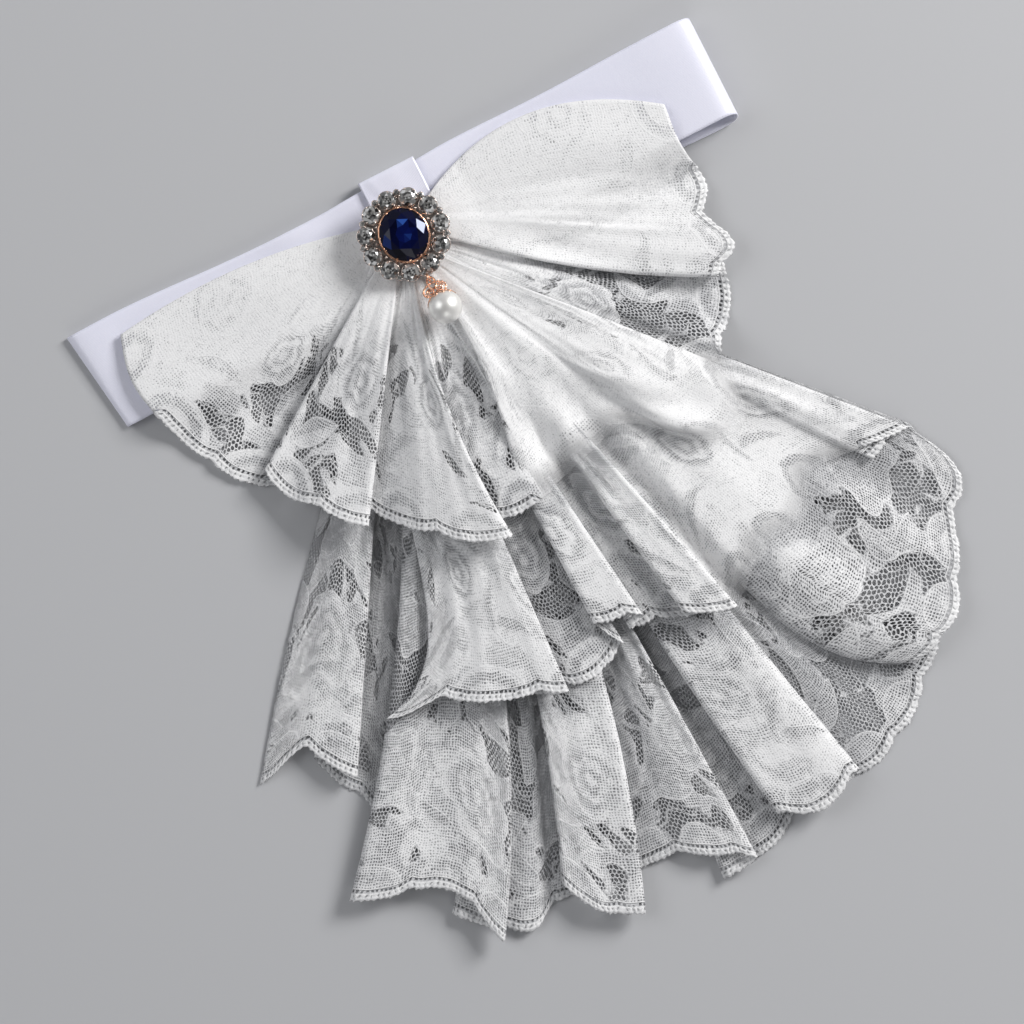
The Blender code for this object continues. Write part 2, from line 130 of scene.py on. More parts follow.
class Graph:
    """A material's node tree with its Principled shader."""

    def __init__(self, name: str) -> None:
        """Makes the material.

        Args:
            name: the material's name.
        """
        self.material = bpy.data.materials.new(name)
        self.material.use_nodes = True
        self.nodes = self.material.node_tree.nodes
        self.links = self.material.node_tree.links
        self.shader = self.nodes["Principled BSDF"]

    def add(self, kind: str, **settings: object) -> bpy.types.Node:
        """Adds a node.

        Args:
            kind: the name of its type.
            settings: properties to set on it.

        Returns:
            The node.
        """
        node = self.nodes.new(kind)
        for key, value in settings.items():
            setattr(node, key, value)
        return node

    def put(self, value: Term | float | Sequence[float], socket: Socket) -> None:
        """Links a term to an input, or sets the input to a constant.

        Args:
            value: the term or constant.
            socket: the input.
        """
        if isinstance(value, Term):
            self.links.new(value.socket, socket)
        else:
            socket.default_value = value

    def math(self, operation: str, *values: Term | float) -> Term:
        """Adds a Math node.

        Args:
            operation: what it works out.
            values: what from.

        Returns:
            Its result.
        """
        node = self.add("ShaderNodeMath", operation=operation)
        for value, socket in zip(values, node.inputs):
            self.put(value, socket)
        return Term(self, node.outputs[0])

    def step(self, value: Term, low: float, high: float) -> Term:
        """Adds a smooth step.

        Args:
            value: what it follows.
            low: the value at which it is 0.
            high: the value at which it is 1, which may be below low.

        Returns:
            The step.
        """
        node = self.add("ShaderNodeMapRange", interpolation_type="SMOOTHSTEP")
        falls = high < low
        sockets = (value, min(low, high), max(low, high), float(falls), float(not falls))
        for entry, socket in zip(sockets, node.inputs):
            self.put(entry, socket)
        return Term(self, node.outputs[0])

    def blend(self, share: Term, first: Term | float, second: Term | float) -> Term:
        """Goes from one number to another.

        Args:
            share: how far, from 0 to 1.
            first: the number at 0.
            second: the number at 1.

        Returns:
            The number between them.
        """
        node = self.add("ShaderNodeMix", data_type="FLOAT")
        for entry, index in zip((share, first, second), MIX_NUMBERS):
            self.put(entry, node.inputs[index])
        return Term(self, node.outputs[0])

    def tint(self, share: Term, first: Colour, second: Colour) -> Socket:
        """Goes from one colour to another.

        Args:
            share: how far, from 0 to 1.
            first: the colour at 0.
            second: the colour at 1.

        Returns:
            The colour between them.
        """
        node = self.add("ShaderNodeMix", data_type="RGBA")
        self.put(share, node.inputs[0])
        for colour, index in zip((first, second), MIX_COLOURS):
            node.inputs[index].default_value = (*colour, 1.0)
        return node.outputs[MIX_COLOUR_OUT]

    def attribute(self, name: str) -> tuple[Term, Term, Term]:
        """The three numbers of a vector attribute of the mesh."""
        return self.split(self.add("ShaderNodeAttribute", attribute_name=name).outputs["Vector"])

    def split(self, source: Socket) -> tuple[Term, Term, Term]:
        """The three numbers of a vector."""
        link = self.links.new(source, self.add("ShaderNodeSeparateXYZ").inputs[0])
        return tuple(Term(self, output) for output in link.to_node.outputs)

    def strip(self) -> tuple[Term, Term]:
        """Millimetres along a ribbon or strip and in from its edge, from the UV map."""
        u, v, _ = self.split(self.add("ShaderNodeUVMap", uv_map="strip").outputs[0])
        return u * STRIP_UNIT, v * STRIP_UNIT

    def noise(self, scale: float, detail: float = 2.0) -> Term:
        """Noise on object coordinates.

        Args:
            scale: features a metre.
            detail: octaves.

        Returns:
            The noise, from 0 to 1.
        """
        node = self.add("ShaderNodeTexNoise")
        node.inputs["Scale"].default_value = scale
        node.inputs["Detail"].default_value = detail
        self.links.new(self.add("ShaderNodeTexCoord").outputs["Object"], node.inputs["Vector"])
        return Term(self, node.outputs["Fac"])

    def relief(self, height: Term, distance: float, strength: float = 1.0) -> None:
        """Bumps the shader's normal.

        Args:
            height: the relief, from 0 to 1.
            distance: its depth in millimetres.
            strength: how much of it shows.
        """
        node = self.add("ShaderNodeBump")
        node.inputs["Strength"].default_value = strength
        node.inputs["Distance"].default_value = distance * MM
        self.put(height, node.inputs["Height"])
        self.links.new(node.outputs[0], self.shader.inputs["Normal"])

    def fix(self, **values: float | Sequence[float]) -> None:
        """Sets sockets of the shader that are the same all over.

        Args:
            values: a number or colour for each socket; underscores in its name stand for spaces.
        """
        for key, value in values.items():
            socket = self.shader.inputs[key.replace("_", " ")]
            socket.default_value = (*value, 1.0) if isinstance(value, tuple) else value

    def colour(self, source: Socket) -> None:
        """Links the base colour."""
        self.links.new(source, self.shader.inputs["Base Color"])


class Shape(NamedTuple):
    """Points in millimetres, and faces as lists of point numbers."""

    points: Array
    faces: list


def grid_faces(rows: int, columns: int, ring_rows: bool = False, ring_columns: bool = False) -> list:
    """Quads of a grid of points, optionally closed along either way.

    Args:
        rows: number of rows of points.
        columns: number of points in each row.
        ring_rows: whether the last row joins the first.
        ring_columns: whether each row is a ring.

    Returns:
        The faces.
    """
    row = np.arange(rows if ring_rows else rows - 1)[:, None]
    column = np.arange(columns if ring_columns else columns - 1)[None, :]
    below, beside = (row + 1) % rows, (column + 1) % columns
    corners = (row * columns + column, below * columns + column, below * columns + beside)
    quads = np.stack(np.broadcast_arrays(*corners, row * columns + beside), -1)
    return quads.reshape(-1, 4).tolist()


def joined(shapes: Sequence[Shape]) -> Shape:
    """Puts several shapes together.

    Args:
        shapes: the shapes.

    Returns:
        All of them as one.
    """
    starts = np.cumsum([0] + [len(shape.points) for shape in shapes])
    faces = [[start + k for k in face] for shape, start in zip(shapes, starts) for face in shape.faces]
    return Shape(np.vstack([shape.points for shape in shapes]), faces)


def moved(shape: Shape, place: Sequence[float], turn: Array | None = None) -> Shape:
    """A shape turned by a matrix and then moved."""
    points = shape.points if turn is None else shape.points @ turn.T
    return Shape(points + np.array(place), shape.faces)


def turn_about(axis: int, angle: float) -> Array:
    """A turn about an axis of the frame.

    Args:
        axis: 0, 1 or 2 for X, Y or Z.
        angle: in radians.

    Returns:
        The rotation matrix.
    """
    c, s = math.cos(angle), math.sin(angle)
    i, j = (axis + 1) % 3, (axis + 2) % 3
    made = np.eye(3)
    made[i, i], made[i, j], made[j, i], made[j, j] = c, -s, s, c
    return made


def make_object(name: str, shape: Shape, finish: Finish, smooth: bool = True) -> Piece:
    """A mesh object at the origin, linked to the scene.

    Args:
        name: the piece's name.
        shape: its points and faces.
        finish: its material.
        smooth: whether faces are shaded smooth.

    Returns:
        The object.
    """
    mesh = bpy.data.meshes.new(name)
    mesh.from_pydata((shape.points * MM).tolist(), [], shape.faces)
    mesh.polygons.foreach_set("use_smooth", np.full(len(mesh.polygons), smooth))
    mesh.materials.append(finish)
    made = bpy.data.objects.new(name, mesh)
    bpy.context.scene.collection.objects.link(made)
    return made


def settle(piece: Piece, body: str, slot: str, *nodes: str) -> None:
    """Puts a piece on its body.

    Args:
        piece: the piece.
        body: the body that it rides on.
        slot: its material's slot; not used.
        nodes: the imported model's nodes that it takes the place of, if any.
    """
    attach(piece, body)
    if nodes:
        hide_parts(*nodes)
    log.info("%s: %d faces", piece.name, len(piece.data.polygons))


def set_strip(mesh: bpy.types.Mesh, along: Array, across: Array) -> None:
    """Writes a strip's own coordinates to its UV map.

    Args:
        mesh: the strip's mesh.
        along: millimetres along the strip, one for each point.
        across: millimetres in from its edge, one for each point.
    """
    layer = mesh.uv_layers.new(name="strip")
    corner = np.empty(len(mesh.loops), np.int32)
    mesh.loops.foreach_get("vertex_index", corner)
    pairs = np.stack([along.ravel(), across.ravel()], -1)[corner] / STRIP_UNIT
    layer.data.foreach_set("uv", pairs.astype(np.float32).ravel())


def set_vector(mesh: bpy.types.Mesh, name: str, values: Array) -> None:
    """Writes a vector attribute, one for each point."""
    layer = mesh.attributes.new(name, "FLOAT_VECTOR", "POINT")
    layer.data.foreach_set("vector", values.astype(np.float32).ravel())


def thicken(piece: Piece, thickness: float) -> None:
    """Gives a sheet its thickness in millimetres, half to each side."""
    wall = piece.modifiers.new("thickness", "SOLIDIFY")
    wall.thickness, wall.offset = thickness * MM, 0.0


WIRE_TIP = 0.02  # of an open wire's end: its length in steps, and its radius in the wire's own
UPRIGHT = 0.9  # how much of a wire's direction is along Z where it counts as upright


def tube(path: Array, radius: Array | float, sides: int = 10, closed: bool = False) -> Shape:
    """A round wire along a path: rings of points at right angles to it.

    Each ring stands on the path's tangent, its first axis being the tangent crossed with Z, or with X
    where the path is upright, and its second axis the first one crossed with the tangent.

    Args:
        path: points along the middle.
        radius: the wire's, one for all or one for each point.
        sides: points round each ring.
        closed: whether the path is a loop; an open wire gets round ends.

    Returns:
        The wire.
    """
    radii = np.broadcast_to(np.asarray(radius, float), (len(path),)).copy()
    if closed:
        tangent = np.roll(path, -1, 0) - np.roll(path, 1, 0)
    else:
        tangent = np.gradient(path, axis=0)
        ends = [path[:1] - tangent[:1] * WIRE_TIP, path, path[-1:] + tangent[-1:] * WIRE_TIP]
        path, tangent = np.vstack(ends), np.vstack([tangent[:1], tangent, tangent[-1:]])
        radii = np.concatenate([[radii[0] * WIRE_TIP], radii, [radii[-1] * WIRE_TIP]])
    tangent /= np.linalg.norm(tangent, axis=1, keepdims=True)
    upright = np.abs(tangent[:, 2:]) > UPRIGHT
    first = np.cross(tangent, np.where(upright, [1.0, 0, 0], [0, 0, 1.0]))
    first /= np.linalg.norm(first, axis=1, keepdims=True)
    second = np.cross(first, tangent)
    angle = np.linspace(0, math.tau, sides, endpoint=False)
    ring = first[:, None] * np.cos(angle)[:, None] + second[:, None] * np.sin(angle)[:, None]
    points = path[:, None] + ring * radii[:, None, None]
    faces = grid_faces(len(path), sides, ring_rows=closed, ring_columns=True)
    if not closed:
        last = (len(path) - 1) * sides
        faces += [list(range(sides)), [last + k for k in reversed(range(sides))]]
    return Shape(points.reshape(-1, 3), faces)


def between_poles(rings: Array, first: float, last: float) -> Shape:
    """Rings of points round Z, closed by one point on Z before the first ring and one after the last.

    Args:
        rings: the points, by ring and then counter-clockwise.
        first: height of the pole before the first ring, which is the one that faces up.
        last: height of the other pole.

    Returns:
        The closed surface.
    """
    count, segments, _ = rings.shape
    points = np.vstack([rings.reshape(-1, 3), [[0, 0, first], [0, 0, last]]])
    faces = grid_faces(count, segments, ring_columns=True)
    top, bottom, end = len(points) - 2, len(points) - 1, (count - 1) * segments
    for k in range(segments):
        after = (k + 1) % segments
        faces += [[top, k, after], [bottom, end + after, end + k]]
    return Shape(points, faces)


def ball(radius: float, segments: int = 12, rings: int = 8, squash: float = 1.0) -> Shape:
    """A sphere: rings of latitude between two poles.

    Args:
        radius: of the sphere.
        segments: points round each ring.
        rings: bands between the poles.
        squash: its height to its width.

    Returns:
        The sphere.
    """
    latitude = np.linspace(0, math.pi, rings + 1)[1:-1, None]
    longitude = np.linspace(0, math.tau, segments, endpoint=False)[None, :]
    x, y = np.sin(latitude) * np.cos(longitude), np.sin(latitude) * np.sin(longitude)
    points = np.stack(np.broadcast_arrays(x, y, np.cos(latitude) * squash), -1) * radius
    return between_poles(points, squash * radius, -squash * radius)


def ellipse(points: int, half_x: float = 1.0, half_y: float = 1.0) -> Array:
    """Points round an ellipse in the XY plane, from +X towards +Y."""
    angle = np.linspace(0, math.tau, points, endpoint=False)
    return np.stack([np.cos(angle) * half_x, np.sin(angle) * half_y, 0 * angle], -1)


def smooth_share(t: Array) -> Array:
    """Smooth step of a share: 3t^2 - 2t^3, held between 0 and 1."""
    t = np.clip(t, 0, 1)
    return t * t * (3 - 2 * t)


# Finishes.


class Grain(NamedTuple):
    """The noises that keep the lace from being even, each about 0 but for fuzz, from 0 to 1."""

    stray: Term  # sways the threads along the hem
    other: Term  # sways them in from the hem
    patchy: Term  # changes over a few threads
    fuzz: Term  # the yarn's own hairs


@dataclass(frozen=True)
class LaceFinish:
    """White floral lace: cloth of every density, open net, cords and a picot edge.

    The mesh says where each is, in three attributes. cut: signed distance in millimetres to the open
    net (below 0 inside), the cloth's density from 0 to 1 and the distance to the edge of its denser
    patches. cord: signed distances to the motifs' outlines, inner outlines and ribs. lie: where the
    edge is plain, a painted shade that darkens the cloth where it lies deep among its folds, and
    where its hem melts into what is below.
    The threads themselves come from the UV map.
    """

    name: str = "lace"
    bright: Colour = (0.86, 0.86, 0.865)
    # the darkest tone, taken by sparse cloth and by painted shade
    deep: Colour = (0.46, 0.465, 0.48)
    net_cell: float = 1.2  # across a mesh of the net
    weave: float = 0.82  # pitch of the cloth's threads
    picot: float = 1.7  # pitch of the edge's loops
    edge_width: float = 2.5  # of the picot band
    edging_ends: tuple = (4.0, 3.8)  # distances from the edge between which the edging gives way to lace
    holes_at: float = 3.05  # distance of the row of holes from the edge
    feet_at: float = 1.75  # distance of the gaps between the loops' feet from the edge
    cord_at: float = 3.75  # distance of the cord inside the row of holes from the edge
    cord_width: float = 0.26  # half the width of an outline cord
    fine_inner: float = 0.08  # half the width of a fine cord's top
    melt_to: float = 9.0  # how far in from the edge the hem melts away
    relief_depth: float = 0.3

    def net(self, u: Term, v: Term, grain: Grain) -> Term:
        """Open net. Cosine waves along u + v/2, u - v/2 and v add up to a honeycomb, whose peaks are the
        holes of its meshes.

        Args:
            u: millimetres along the threads that follow the hem.
            v: millimetres along the threads that cross them.
            grain: the lace's noises.

        Returns:
            1 on a thread and 0 in a hole.
        """
        comb = (u + v * 0.5).wave(self.net_cell) + (u - v * 0.5).wave(self.net_cell) + v.wave(self.net_cell)
        return (comb + grain.patchy * 1.5).rises(-0.35, -0.85)

    def gaps(self, u: Term, v: Term) -> Term:
        """Peaks between the cloth's threads: the product of two raised cosines, along and across."""
        return (u.wave(self.weave) + 1.0) * (v.wave(self.weave) + 1.0) * 0.25

    def cords(self, lines: tuple[Term, Term, Term], open_net: Term, patch: Term) -> Term:
        """Cords along the motifs' outlines and round the open net, and finer ones along inner outlines,
        ribs and the edges of the denser patches.

        Args:
            lines: distances to the outlines, inner outlines and ribs.
            open_net: distance to the open net.
            patch: distance to the edge of the denser patches.

        Returns:
            1 on top of the boldest cords and 0 away from them all.
        """
        outline, inner, rib = lines
        wide, fine = self.cord_width, self.fine_inner
        bold = outline.size().rises(wide + 0.14, wide - 0.1) * 0.95
        bold = bold.most((open_net - 0.3).size().rises(wide + 0.25, 0.1) * 0.7)
        within = inner.size().rises(wide + 0.05, fine).most(rib.size().rises(0.24, 0.05) * 0.8)
        bold = bold.most(within * outline.rises(0.1, -0.1) * 0.9)
        patch_edge = patch.size().rises(wide + 0.1, fine) * outline.rises(0.2, 0.8)
        return bold.most(patch_edge * 0.75)

    def edging(self, u: Term, hem: Term, loops: Term, grain: Grain) -> tuple[Term, Term]:
        """The picot band, with a row of holes and gaps between its loops' feet.

        Args:
            u: millimetres along the hem.
            hem: millimetres in from it.
            loops: the wave of the loops.
            grain: the lace's noises.

        Returns:
            Its cloth, 1 on a thread and 0 in a hole, and its relief.
        """
        slot = (hem - self.holes_at + grain.stray * 1.6 + grain.patchy).size().rises(0.48, 0.24)
        slot = slot * (u.wave(self.picot * 0.8) + grain.patchy * 3.5).rises(0.4, -0.1)
        gap = (hem - self.feet_at + grain.patchy).size().rises(0.5, 0.2) * loops.rises(-0.5, -1.0)
        knots = loops * 0.19 + (hem - 0.9 + grain.stray).wave(1.2) * 0.1 + 0.66
        knots = knots * hem.rises(self.edge_width + 0.2, self.edge_width - 0.2)
        knots = knots.most((hem - self.cord_at).size().rises(0.35, 0.1) * 0.9)
        return (1.0 - slot).least(1.0 - gap * 0.8), knots

    def build(self) -> Finish:
        """The material. The cloth is open between its threads where gaps passes a limit that rises with
        the density.

        Returns:
            The lace.
        """
        g = Graph(self.name)
        stray, other, patchy = g.noise(230.0) - 0.5, g.noise(190.0, 1.0) - 0.5, g.noise(480.0, 4.0) - 0.5
        grain = Grain(stray, other, patchy, g.noise(1700.0, 3.0))
        open_net, density, patch = g.attribute("cut")
        # lie: the plain edge, a painted shade where the cloth lies deep among its folds, and the melting hem
        calm, painted_fold_shade, melt = g.attribute("lie")
        along, edge = g.strip()
        u = along + grain.stray * 1.8 + grain.patchy * 0.8
        v = edge + grain.other * 1.8 - grain.patchy * 0.7
        hem = edge + grain.other * 0.5 + calm * 8.0

        net, gaps = self.net(u, v, grain), self.gaps(u, v)
        limit = density * 0.66 + grain.patchy * 1.3 + grain.fuzz * 1.1 - 0.38
        hole = (gaps - limit).rises(0.0, 0.3) * g.blend(density, 1.0, 0.45)
        cords = self.cords(g.attribute("cord"), open_net, patch)
        ground = g.blend((open_net + grain.patchy * 1.6).rises(-0.2, 0.2), net, 1.0 - hole).most(cords)

        loops = (u + grain.patchy * 1.6).wave(self.picot) + grain.patchy * 1.6
        tips = (hem + loops * 0.16 + grain.patchy * 1.3).rises(0.3, 0.6)
        edging, knots = self.edging(u, hem, loops, grain)
        near_edge = (hem + grain.stray).rises(*self.edging_ends)
        alpha = g.blend(near_edge, ground, edging).least(tips)
        melted = melt * edge.rises(self.melt_to, 0.5)
        g.put(alpha * (1.0 - melted * 0.85), g.shader.inputs["Alpha"])

        relief = g.blend(open_net.rises(-0.15, 0.15), net * 0.35, 0.6 - gaps * 0.3 * (1.4 - density))
        relief = relief.most(cords * g.blend(density, 1.0, 0.72))
        relief = g.blend(near_edge, relief, knots)
        g.relief(relief + grain.fuzz * 0.35, self.relief_depth)
        # The tone: fuzz, patchiness and density are the lace's own; lighter on raised cords and darker in
        # the relief's hollows is partly the cords' own whiteness and partly painted shade; the fold shade is
        # painted shade
        shade = relief * 0.55 + grain.fuzz + grain.patchy * 0.35 + density * 0.42 - painted_fold_shade * 0.33 - 0.35
        # Painted shade round the holes between the threads, away from the edging
        shade = shade - gaps * g.blend(density, 0.55, 0.1) * near_edge.rises(1.0, 0.0)
        g.colour(g.tint(shade.rises(0.0, 0.95), self.deep, self.bright))
        g.fix(Roughness=0.75, Sheen_Weight=0.2, Sheen_Roughness=0.5, Specular_IOR_Level=0.2)
        return g.material


@dataclass(frozen=True)
class SatinFinish:
    """Bluish-white satin ribbon: fine ribs along it, a corded selvedge and a soft sheen."""

    name: str = "satin"
    bright: Colour = (0.86, 0.86, 0.97)
    deep: Colour = (0.8, 0.81, 0.94)
    rib: float = 0.4
    selvedge: float = 0.8
    relief_depth: float = 0.08

    def build(self) -> Finish:
        """The material: v is the distance from the nearer edge of the ribbon.

        Returns:
            The satin.
        """
        g = Graph(self.name)
        u, v = g.strip()
        ribs = v.wave(self.rib)
        grain = g.noise(1900.0, 3.0)
        soft = g.noise(35.0, 1.0)
        edge = v.rises(self.selvedge, self.selvedge * 0.5)
        edge_ribs = u.wave(self.rib * 2)
        # The noises are the satin's own uneven tone and the selvedge is darker; the ribs' lighter crests and
        # darker troughs are painted shade
        shade = soft * 0.5 + grain * 0.5 + ribs * 0.06 - edge * 0.12
        g.colour(g.tint(shade.rises(0.1, 0.8), self.deep, self.bright))
        height = ribs * 0.15 + grain * 0.3 + edge * (edge_ribs * 0.25 + 0.6)
        g.relief(height, self.relief_depth, 0.7)
        g.fix(Roughness=0.34, Sheen_Weight=0.25, Sheen_Roughness=0.35, Anisotropic=0.4)
        g.fix(Specular_IOR_Level=0.65)
        return g.material


@dataclass(frozen=True)
class MetalFinish:
    """Rose-gold plate, polished, with darker hollows and fine scratches."""

    name: str = "rose_gold"
    bright: Colour = (0.93, 0.57, 0.4)
    deep: Colour = (0.62, 0.3, 0.18)
    relief_depth: float = 0.06

    def build(self) -> Finish:
        """The material.

        Returns:
            The metal.
        """
        g = Graph(self.name)
        cast = g.noise(900.0, 3.0)
        g.colour(g.tint(cast.rises(0.25, 0.6), self.deep, self.bright))
        g.put(cast * 0.18 + 0.14, g.shader.inputs["Roughness"])
        g.relief(cast, self.relief_depth)
        g.fix(Metallic=1.0)
        return g.material


WORN_GOLD = MetalFinish("rose_gold_worn", (0.86, 0.76, 0.7), (0.4, 0.3, 0.26))


@dataclass(frozen=True)
class StoneFinish:
    """Faceted glass on foil: each facet throws back its own share of light, in attribute glint."""

    name: str
    ramp: tuple  # glint and colour, from the darkest facets to the sparks
    metallic: float
    coat: float = 1.0

    def build(self) -> Finish:
        """The material.

        Returns:
            The glass.
        """
        g = Graph(self.name)
        glint, _, _ = g.attribute("glint")
        node = g.add("ShaderNodeValToRGB")
        g.put(glint, node.inputs[0])
        steps = node.color_ramp.elements
        for _ in self.ramp[2:]:
            steps.new(0.5)
        for step, (place, colour) in zip(steps, self.ramp):
            step.position, step.color = place, (*colour, 1.0)
        g.colour(node.outputs[0])
        g.fix(Roughness=0.07, Metallic=self.metallic, Coat_Weight=self.coat, Coat_Roughness=0.03)
        g.fix(Specular_IOR_Level=0.5 * self.coat)
        return g.material


CLEAR_GLASS = StoneFinish(
    name="crystal",
    ramp=(
        (0.0, (0.02, 0.02, 0.02)),
        (0.4, (0.2, 0.2, 0.2)),
        (0.75, (0.5, 0.49, 0.47)),
        (1.0, (1, 1, 1)),
    ),
    metallic=0.6,
)
BLUE_GLASS = StoneFinish(
    name="blue_stone",
    ramp=(
        (0.0, (0.001, 0.001, 0.006)),
        (0.35, (0.002, 0.006, 0.07)),
        (0.72, (0.035, 0.11, 0.45)),
        (1.0, (0.8, 0.85, 1)),
    ),
    metallic=0.1,
    coat=0.25,
)


@dataclass(frozen=True)
class PearlFinish:
    """A pearl coat: warm white, glossy over a satin body, with the faintest clouding."""

    name: str = "pearl"
    bright: Colour = (0.93, 0.92, 0.89)
    deep: Colour = (0.82, 0.81, 0.78)

    def build(self) -> Finish:
        """The material.

        Returns:
            The nacre.
        """
        g = Graph(self.name)
        g.colour(g.tint(g.noise(420.0), self.deep, self.bright))
        g.fix(Roughness=0.38, Metallic=0.6, Coat_Weight=0.25, Coat_Roughness=0.25, Sheen_Weight=0.2)
        g.fix(Specular_IOR_Level=0.6)
        return g.material


@dataclass(frozen=True)
class FloorFinish:
    """A plain pale floor."""

    name: str = "floor"
    colour: Colour = (0.5, 0.505, 0.52)

    def build(self) -> Finish:
        """The material.

        Returns:
            The floor's.
        """
        g = Graph(self.name)
        g.fix(Base_Color=self.colour, Roughness=0.85, Specular_IOR_Level=0.2)
        return g.material


# The shape of the cloth.


class Fold(NamedTuple):
    """One crease of a frill, from its hem end to its gathered end."""

    bearing: float  # of the hem end, seen from the gather's centre
    reach: float  # of the hem end from the gather's centre
    enter: float  # height of the cloth that comes into the crease, above what it lies on
    leave: float  # height of the cloth that goes on from it: another one where it turns back
    gather: float  # bearing of the gathered end
    bow: float = 0.0  # sideways bulge half way down, towards greater bearings
    flick: float = 0.0  # a second bulge, four fifths of the way down


UPPER_FOLDS = [
    # bearing, reach, enter, leave, gather, bow, flick
    Fold(-98, 83, 0.2, 0.2, -131, -4),
    Fold(-88, 86, 0.8, 0.8, -116, -2),
    Fold(-78, 83, 1.6, 1.6, -104),
    Fold(-68, 84, 1.2, 1.2, -94),
    Fold(-50, 76, 0.2, 2.4, -80),
    Fold(-58, 76, 2.6, 5.2, -68),
    Fold(-48, 79, 4.6, 4.6, -56),
    Fold(-34, 80, 4.8, 2.4, -36),
    Fold(-44, 78, 2.2, 0.2, -30),
    Fold(-30, 77, 0.6, 0.6, -26),
    Fold(-19, 84, 3.4, 3.4, -20),
    Fold(-7, 88, 5.2, 2.6, -14, -4),
    Fold(-14.5, 84, 2.4, 0.2, -10),
    Fold(3, 81, 0.2, 2.4, -2),
    Fold(-4, 82, 2.6, 4.8, 3, 5),
    Fold(7, 79, 4.6, 4.6, 10),
    Fold(16, 78, 4.2, 4.2, 16),
    Fold(24, 78, 3.8, 3.8, 21),
    Fold(28, 100, 4.6, 4.6, 24),
    Fold(35, 109, 4.2, 4.2, 28),
    Fold(41, 94, 4.6, 2.4, 32),
    Fold(30, 88, 2.2, 0.2, 38, 3),
    Fold(44, 93, 0.2, 0.2, 44),
    Fold(50, 92, 0.2, 0.2, 50),
    Fold(63, 88, 0.2, 2.4, 56),
    Fold(56, 87, 2.6, 4.8, 62, -3),
    Fold(62, 92, 5.6, 5.6, 82),
    Fold(67, 83, 3.6, 3.6, 92),
    Fold(74, 85, 1.6, 1.6, 102),
    Fold(82, 79, 1.0, 1.0, 112, 6),
    Fold(90, 80, 0.2, 0.2, 126, 12),
]

MIDDLE_FOLDS = [
    # bearing, reach, enter, leave, gather, bow, flick
    Fold(-33, 120, 0.4, 0.4, -80, 3, 10),
    Fold(-27, 113, 2.4, 2.4, -66, 3, 6),
    Fold(-20, 114, 3.6, 3.6, -54, 2, 2),
    Fold(-8, 117, 5.0, 2.6, -42),
    Fold(-15, 114, 2.4, 0.2, -34),
    Fold(-6, 117, 0.2, 0.2, -28),
    Fold(1.6, 112, 0.2, 2.4, -22),
    Fold(-1, 102, 2.6, 4.8, -16),
    Fold(6, 107, 5.8, 3.2, -8),
    Fold(3.4, 108, 2.8, 0.4, -2),
    Fold(9, 112, 0.4, 0.4, 4),
    Fold(13.2, 116, 0.4, 2.6, 10),
    Fold(11, 114, 2.8, 5.0, 14),
    Fold(17, 121, 6.0, 3.4, 20),
    Fold(15, 118, 3.0, 0.6, 26),
    Fold(18, 121, 0.8, 0.8, 32),
    Fold(21, 118, 5.0, 5.0, 40, 1),
    Fold(26, 115, 2.6, 2.6, 48),
    Fold(32, 123, 4.6, 4.6, 56),
    Fold(37, 114, 2.2, 2.2, 64),
    Fold(42, 124, 4.4, 4.4, 72),
    Fold(47, 137, 4.4, 2.2, 80),
    Fold(42, 130, 1.8, 1.8, 88),
]

LOWER_FOLDS = [
    # bearing, reach, enter, leave, gather, bow, flick
    Fold(-46, 146, 0.0, 0.0, -84, -3),
    Fold(-43, 131, 4.2, 4.2, -78),
    Fold(-39, 134, 4.4, 4.4, -73),
    Fold(-35.5, 136, 5.0, 2.6, -68),
    Fold(-41, 134, 2.4, 0.0, -64, 3),
    Fold(-29, 150, 0.0, 2.2, -60, 1),
    Fold(-34.5, 170, 2.4, 4.6, -56, 8),
    Fold(-30, 168, 5.2, 5.2, -50, 7),
    Fold(-25, 163, 4.6, 4.6, -46, 9),
    Fold(-20.5, 181, 5.6, 3.2, -42, 12),
    Fold(-25, 172, 2.6, 0.2, -38, 12),
    Fold(-18, 181, 1.8, 1.8, -34, 12),
    Fold(-16, 174, 0.0, 0.0, -30, 10),
    Fold(-12.3, 170, 0.0, 2.4, -26, 9),
    Fold(-14.5, 168, 2.6, 5.0, -22, 7),
    Fold(-11, 181, 5.2, 5.2, -16, 8),
    Fold(-8, 182, 5.6, 3.0, -10, 12),
    Fold(-10.5, 172, 2.8, 0.4, -7, 12),
    Fold(-5.5, 169, 0.3, 0.3, -4, 8),
    Fold(-1.5, 172, 4.0, 4.0, 0, 4),
    Fold(3, 181, 5.0, 2.6, 5, 1),
    Fold(-0.5, 182, 2.4, 0.2, 9, 3),
    Fold(4, 181, 0.2, 0.2, 12),
    Fold(9.5, 176, 0.2, 2.4, 16),
    Fold(6.5, 174, 2.6, 5.0, 20, -3),
    Fold(10, 180, 5.4, 5.4, 26),
    Fold(14.8, 178, 5.4, 2.8, 32),
    Fold(11.5, 178, 2.6, 0.2, 36),
    Fold(19, 181, 0.0, 0.0, 42, -4),
    Fold(31, 168, 0.0, 2.2, 48, -10, -6),
    Fold(25.5, 168, 2.4, 4.8, 54, -6, -12),
    Fold(29.5, 172, 5.4, 5.4, 60, -4, -7),
    Fold(34, 168, 3.4, 3.4, 66, -2, -2),
    Fold(39, 158, 0.8, 0.8, 72),
    Fold(44, 157, 1.2, 1.2, 78),
    Fold(47.5, 137, 0.2, 0.2, 84),
]

